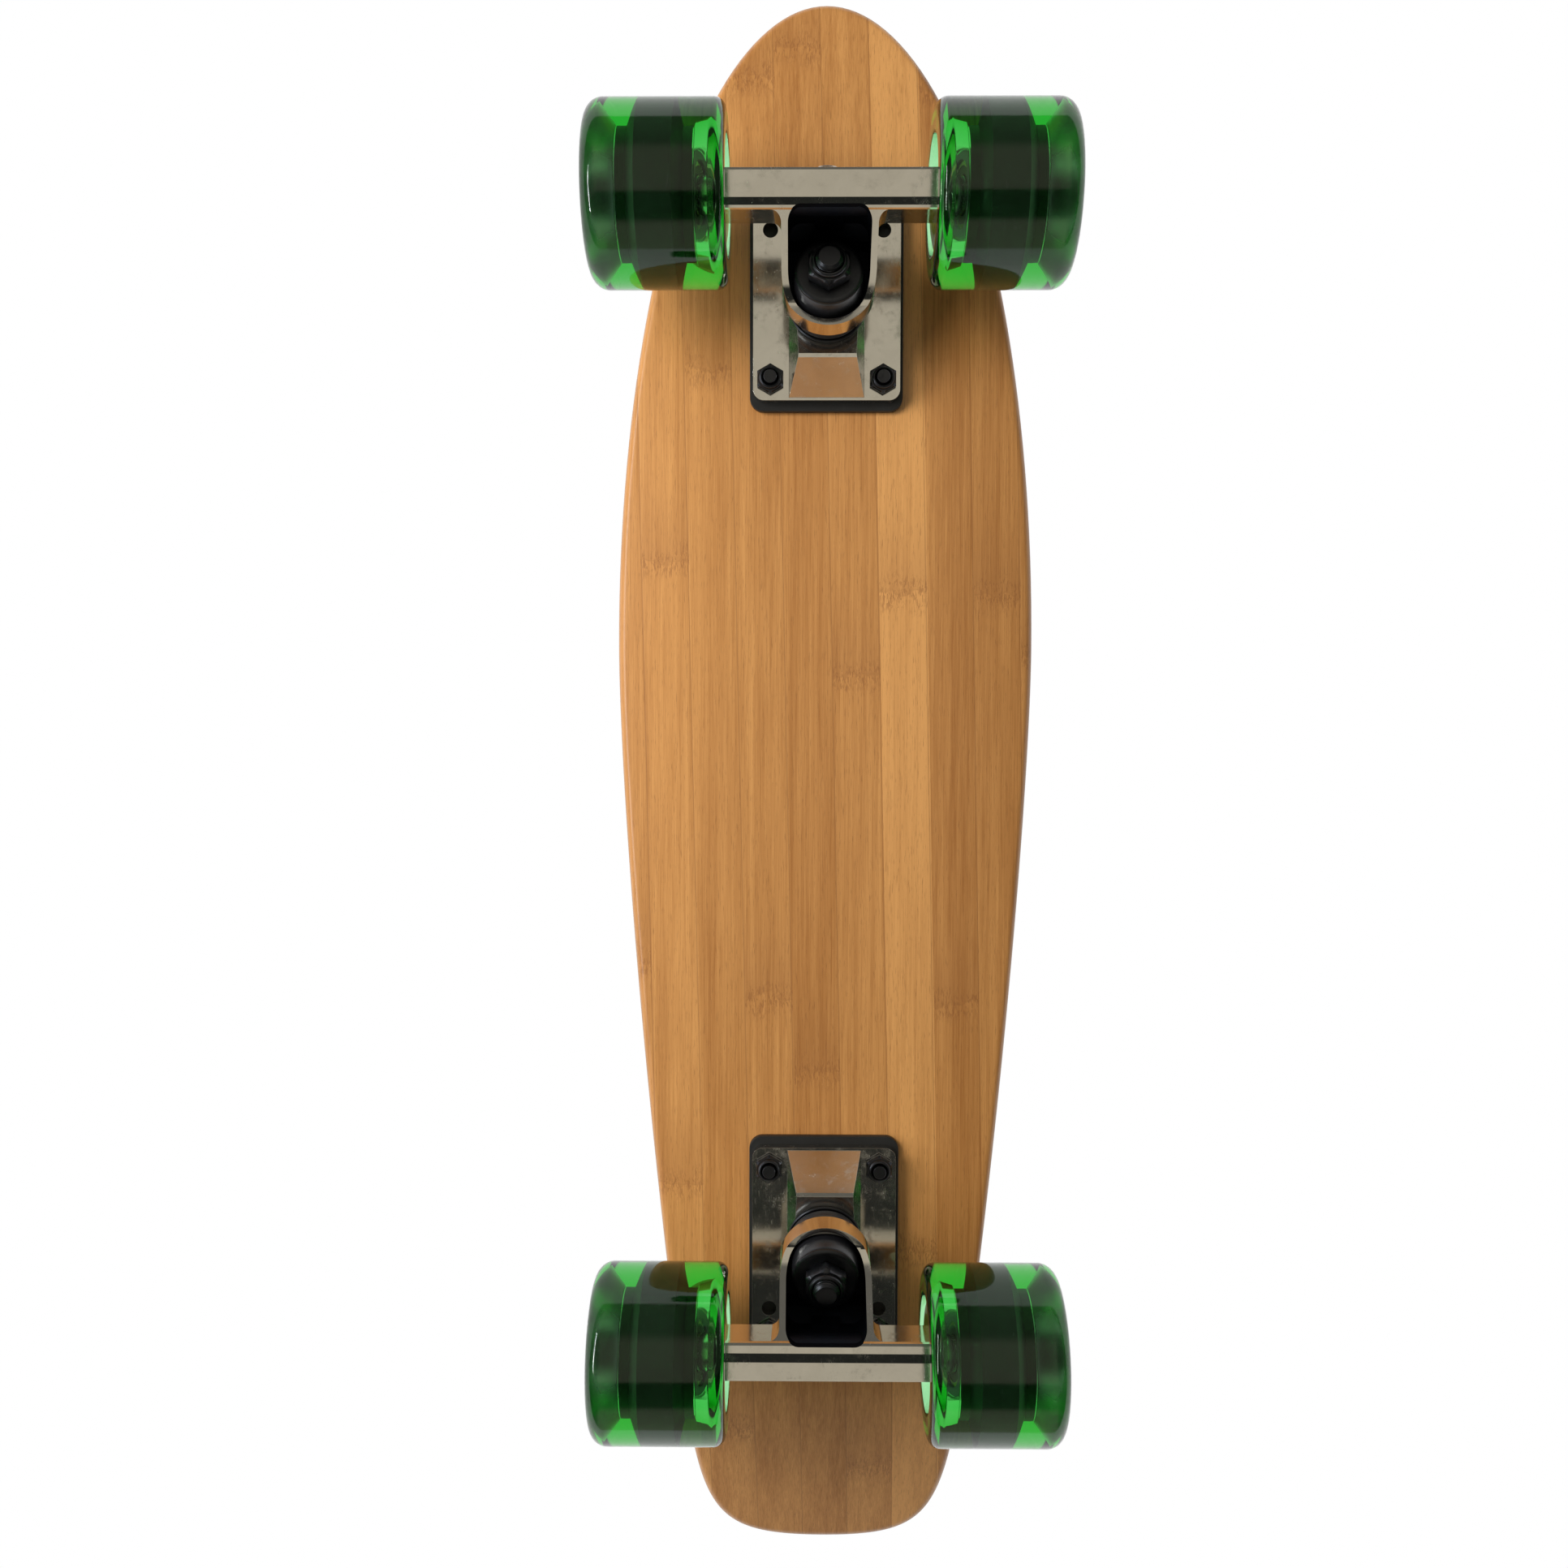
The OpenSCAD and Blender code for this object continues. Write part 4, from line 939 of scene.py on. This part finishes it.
HALF_WHEEL = 23
OUTER_LIP = 6
INNER_LIP = 4
BARREL_R = 14.4
BARREL_HALF = 12.7
FLANGE_ROOT = 9.2
FLANGE_TIP = 6
FLANGE_R = 21.5
BEARING_R = 11
WEB_HALF = 5
HOLD = 0.05


def tyre_outline():
    """Outer dish, tread with both lips, inner dish and the wall that grips the core."""
    wide, grip_r = HALF_WHEEL, BARREL_R - HOLD
    # The cast tyre's inner wall lies just inside the core's skin
    flank = [(FLANGE_R - HOLD, FLANGE_TIP - HOLD), (grip_r, FLANGE_ROOT - HOLD)]
    outline = flank + [(grip_r, BARREL_HALF + 0.02), (BARREL_R + 0.5, BARREL_HALF + 0.4)]
    outline += [(21.3, wide - 1.5), (21.9, wide - 0.65), (22.6, wide - 0.15), (23.3, wide)]
    outline += bend((WHEEL_R - OUTER_LIP, wide - OUTER_LIP), OUTER_LIP, 90, 0, 14)
    outline += bend((WHEEL_R - INNER_LIP, INNER_LIP - wide), INNER_LIP, 0, -90, 12)
    outline += [(20.6, -wide), (20, 0.3 - wide), (18.9, 1.2 - wide), (18.5, 1.8 - wide), (16.3, 5.3 - wide),
                (16.0, 6 - wide), (15.2, -BARREL_HALF - 0.4), (grip_r, -BARREL_HALF - 0.02)]
    return outline + [(r, -h) for r, h in reversed(flank)]


def core_outline():
    """Barrel with a bearing seat at each end, and a flange that tapers out into the tyre."""
    edge = 0.3
    half = [(9, WEB_HALF), (BEARING_R - 0.1, WEB_HALF), (BEARING_R, WEB_HALF + 0.1),
            (BEARING_R, BARREL_HALF - edge), (BEARING_R + edge, BARREL_HALF), (BARREL_R - edge, BARREL_HALF),
            (BARREL_R, BARREL_HALF - edge), (BARREL_R, FLANGE_ROOT), (FLANGE_R, FLANGE_TIP)]
    return half + [(r, -h) for r, h in reversed(half)]


def wheel(end, side):
    place, body = WHEEL[end, side], f"wheel_{end}_{side}"
    tyre = turned(tyre_outline(), "wheel_urethane", place, segments=160)
    piece(f"{end}_{side}_tyre", [tyre], body, "wheel_urethane", f"tyre_{end}_{side}")
    core = turned(core_outline(), "core_plastic", place)
    piece(f"{end}_{side}_core", [core], body, "core_plastic", f"core_{end}_{side}")


for end, side in WHEELS:
    wheel(end, side)

# The bearings stay as the frame has them, in their own finishes
for node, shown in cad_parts.items():
    if node.startswith("bearing_"):
        shown.data.materials.clear()
        slot = "shield_black" if node.startswith("bearing_shields") else "bearing_steel"
        shown.data.materials.append(FINISH[slot])


# ---- Floor, light and camera --------------------------------------------------------------------

def floor():
    material, tree, shader, place = finish("pale_floor", Roughness=0.9)
    mottle = noise(tree, place, 9.0, 4.0)
    tone = mixed(tree, mottle, (0.80, 0.79, 0.775, 1), (0.84, 0.835, 0.825, 1))
    tree.links.new(tone, shader.inputs["Base Color"])
    below = put(tree, "ShaderNodeNewGeometry").outputs["Backfacing"]
    clear = put(tree, "ShaderNodeBsdfTransparent")
    both = put(tree, "ShaderNodeMixShader", {0: below, 1: shader.outputs[0], 2: clear.outputs[0]})
    output = next(n for n in tree.nodes if n.type == "OUTPUT_MATERIAL")
    tree.links.new(both.outputs[0], output.inputs["Surface"])
    size = 30
    corners = [(-size, -size, 0), (size, -size, 0), (size, size, 0), (-size, size, 0)]
    mesh = bpy.data.meshes.new("floor")
    mesh.from_pydata(corners, [], [(0, 1, 2, 3)])
    mesh.materials.append(material)
    plane = bpy.data.objects.new("floor", mesh)
    bpy.context.scene.collection.objects.link(plane)
    # It is seen only from above; light from below passes it
    plane.visible_diffuse = False
    plane.visible_glossy = False
    plane.visible_transmission = False
    plane.visible_shadow = False
    plane.visible_volume_scatter = False


def surroundings():
    """White above, a cream room below: darker to both sides, nearly black towards the tail."""
    world = bpy.data.worlds.new("studio")
    bpy.context.scene.world = world
    world.use_nodes = True
    tree = world.node_tree
    tree.nodes.clear()
    way = put(tree, "ShaderNodeTexCoord").outputs["Generated"]
    x, y, z = put(tree, "ShaderNodeSeparateXYZ", {0: way}).outputs
    tailward = calc(tree, "ADD", y, calc(tree, "MULTIPLY", x, 0.1))
    shaded = calc(tree, "SUBTRACT", step(tree, tailward, 0.17, 0.27), step(tree, tailward, 0.68, 0.8))
    beside = calc(tree, "MAXIMUM", step(tree, calc(tree, "ABSOLUTE", x), 0.28, 0.5),
                  step(tree, y, -0.55, -0.75))
    room = mixed(tree, beside, (0.49, 0.45, 0.365, 1), (0.13, 0.125, 0.11, 1))
    room = mixed(tree, shaded, room, (0.018, 0.019, 0.017, 1))
    upper = step(tree, z, -0.12, -0.05)
    colour = mixed(tree, upper, room, (1, 1, 1, 1))
    back = put(tree, "ShaderNodeBackground", {"Color": colour, "Strength": 1.0})
    put(tree, "ShaderNodeOutputWorld", {"Surface": back.outputs[0]})


def lamp(name, at, towards, power, size, colour, mirrored=False):
    """A soft lamp; only a mirrored one shows in polished metal."""
    light = bpy.data.lights.new(name, "AREA")
    light.shape = "RECTANGLE"
    light.size, light.size_y = size
    light.energy = power
    light.color = colour
    thing = bpy.data.objects.new(name, light)
    thing.location = at
    thing.rotation_mode = "QUATERNION"
    thing.rotation_quaternion = (Vector(towards) - Vector(at)).to_track_quat("-Z", "Y")
    thing.visible_glossy = mirrored
    thing.visible_camera = False
    thing.visible_transmission = False
    bpy.context.scene.collection.objects.link(thing)


def camera(at, forward, right, lens):
    """From below the board, close by, a little to one side of the middle."""
    data = bpy.data.cameras.new("camera")
    data.sensor_width = 36
    data.lens = lens
    data.clip_start = 0.01
    data.clip_end = 100
    thing = bpy.data.objects.new("camera", data)
    forward, right = Vector(forward).normalized(), Vector(right)
    right = (right - right.dot(forward) * forward).normalized()
    up = right.cross(forward)
    turn_to = Matrix((right, up, -forward)).transposed().to_4x4()
    thing.matrix_world = Matrix.Translation(at) @ turn_to
    bpy.context.scene.collection.objects.link(thing)
    bpy.context.scene.camera = thing


floor()
surroundings()
DECK_MIDDLE = (0, -0.05, 0.09)
lamp("window", (-0.86, -0.1, -0.52), DECK_MIDDLE, 4.6, (0.8, 0.07), (0.93, 0.97, 1.0), mirrored=True)
lamp("room", (-0.5, -0.3, -0.56), DECK_MIDDLE, 4.9, (0.36, 0.36), (1.0, 0.96, 0.9))
lamp("overhead", (-0.8, -0.7, 1.6), (0, 0, 0.05), 14.0, (1.2, 1.2), (1.0, 0.98, 0.95))
camera((-0.0104, -0.0336, -0.4652), (-0.0091, 0.048, 1), (1, -0.0019, 0.0091), 33.58)
bpy.context.scene.view_settings.view_transform = "Standard"
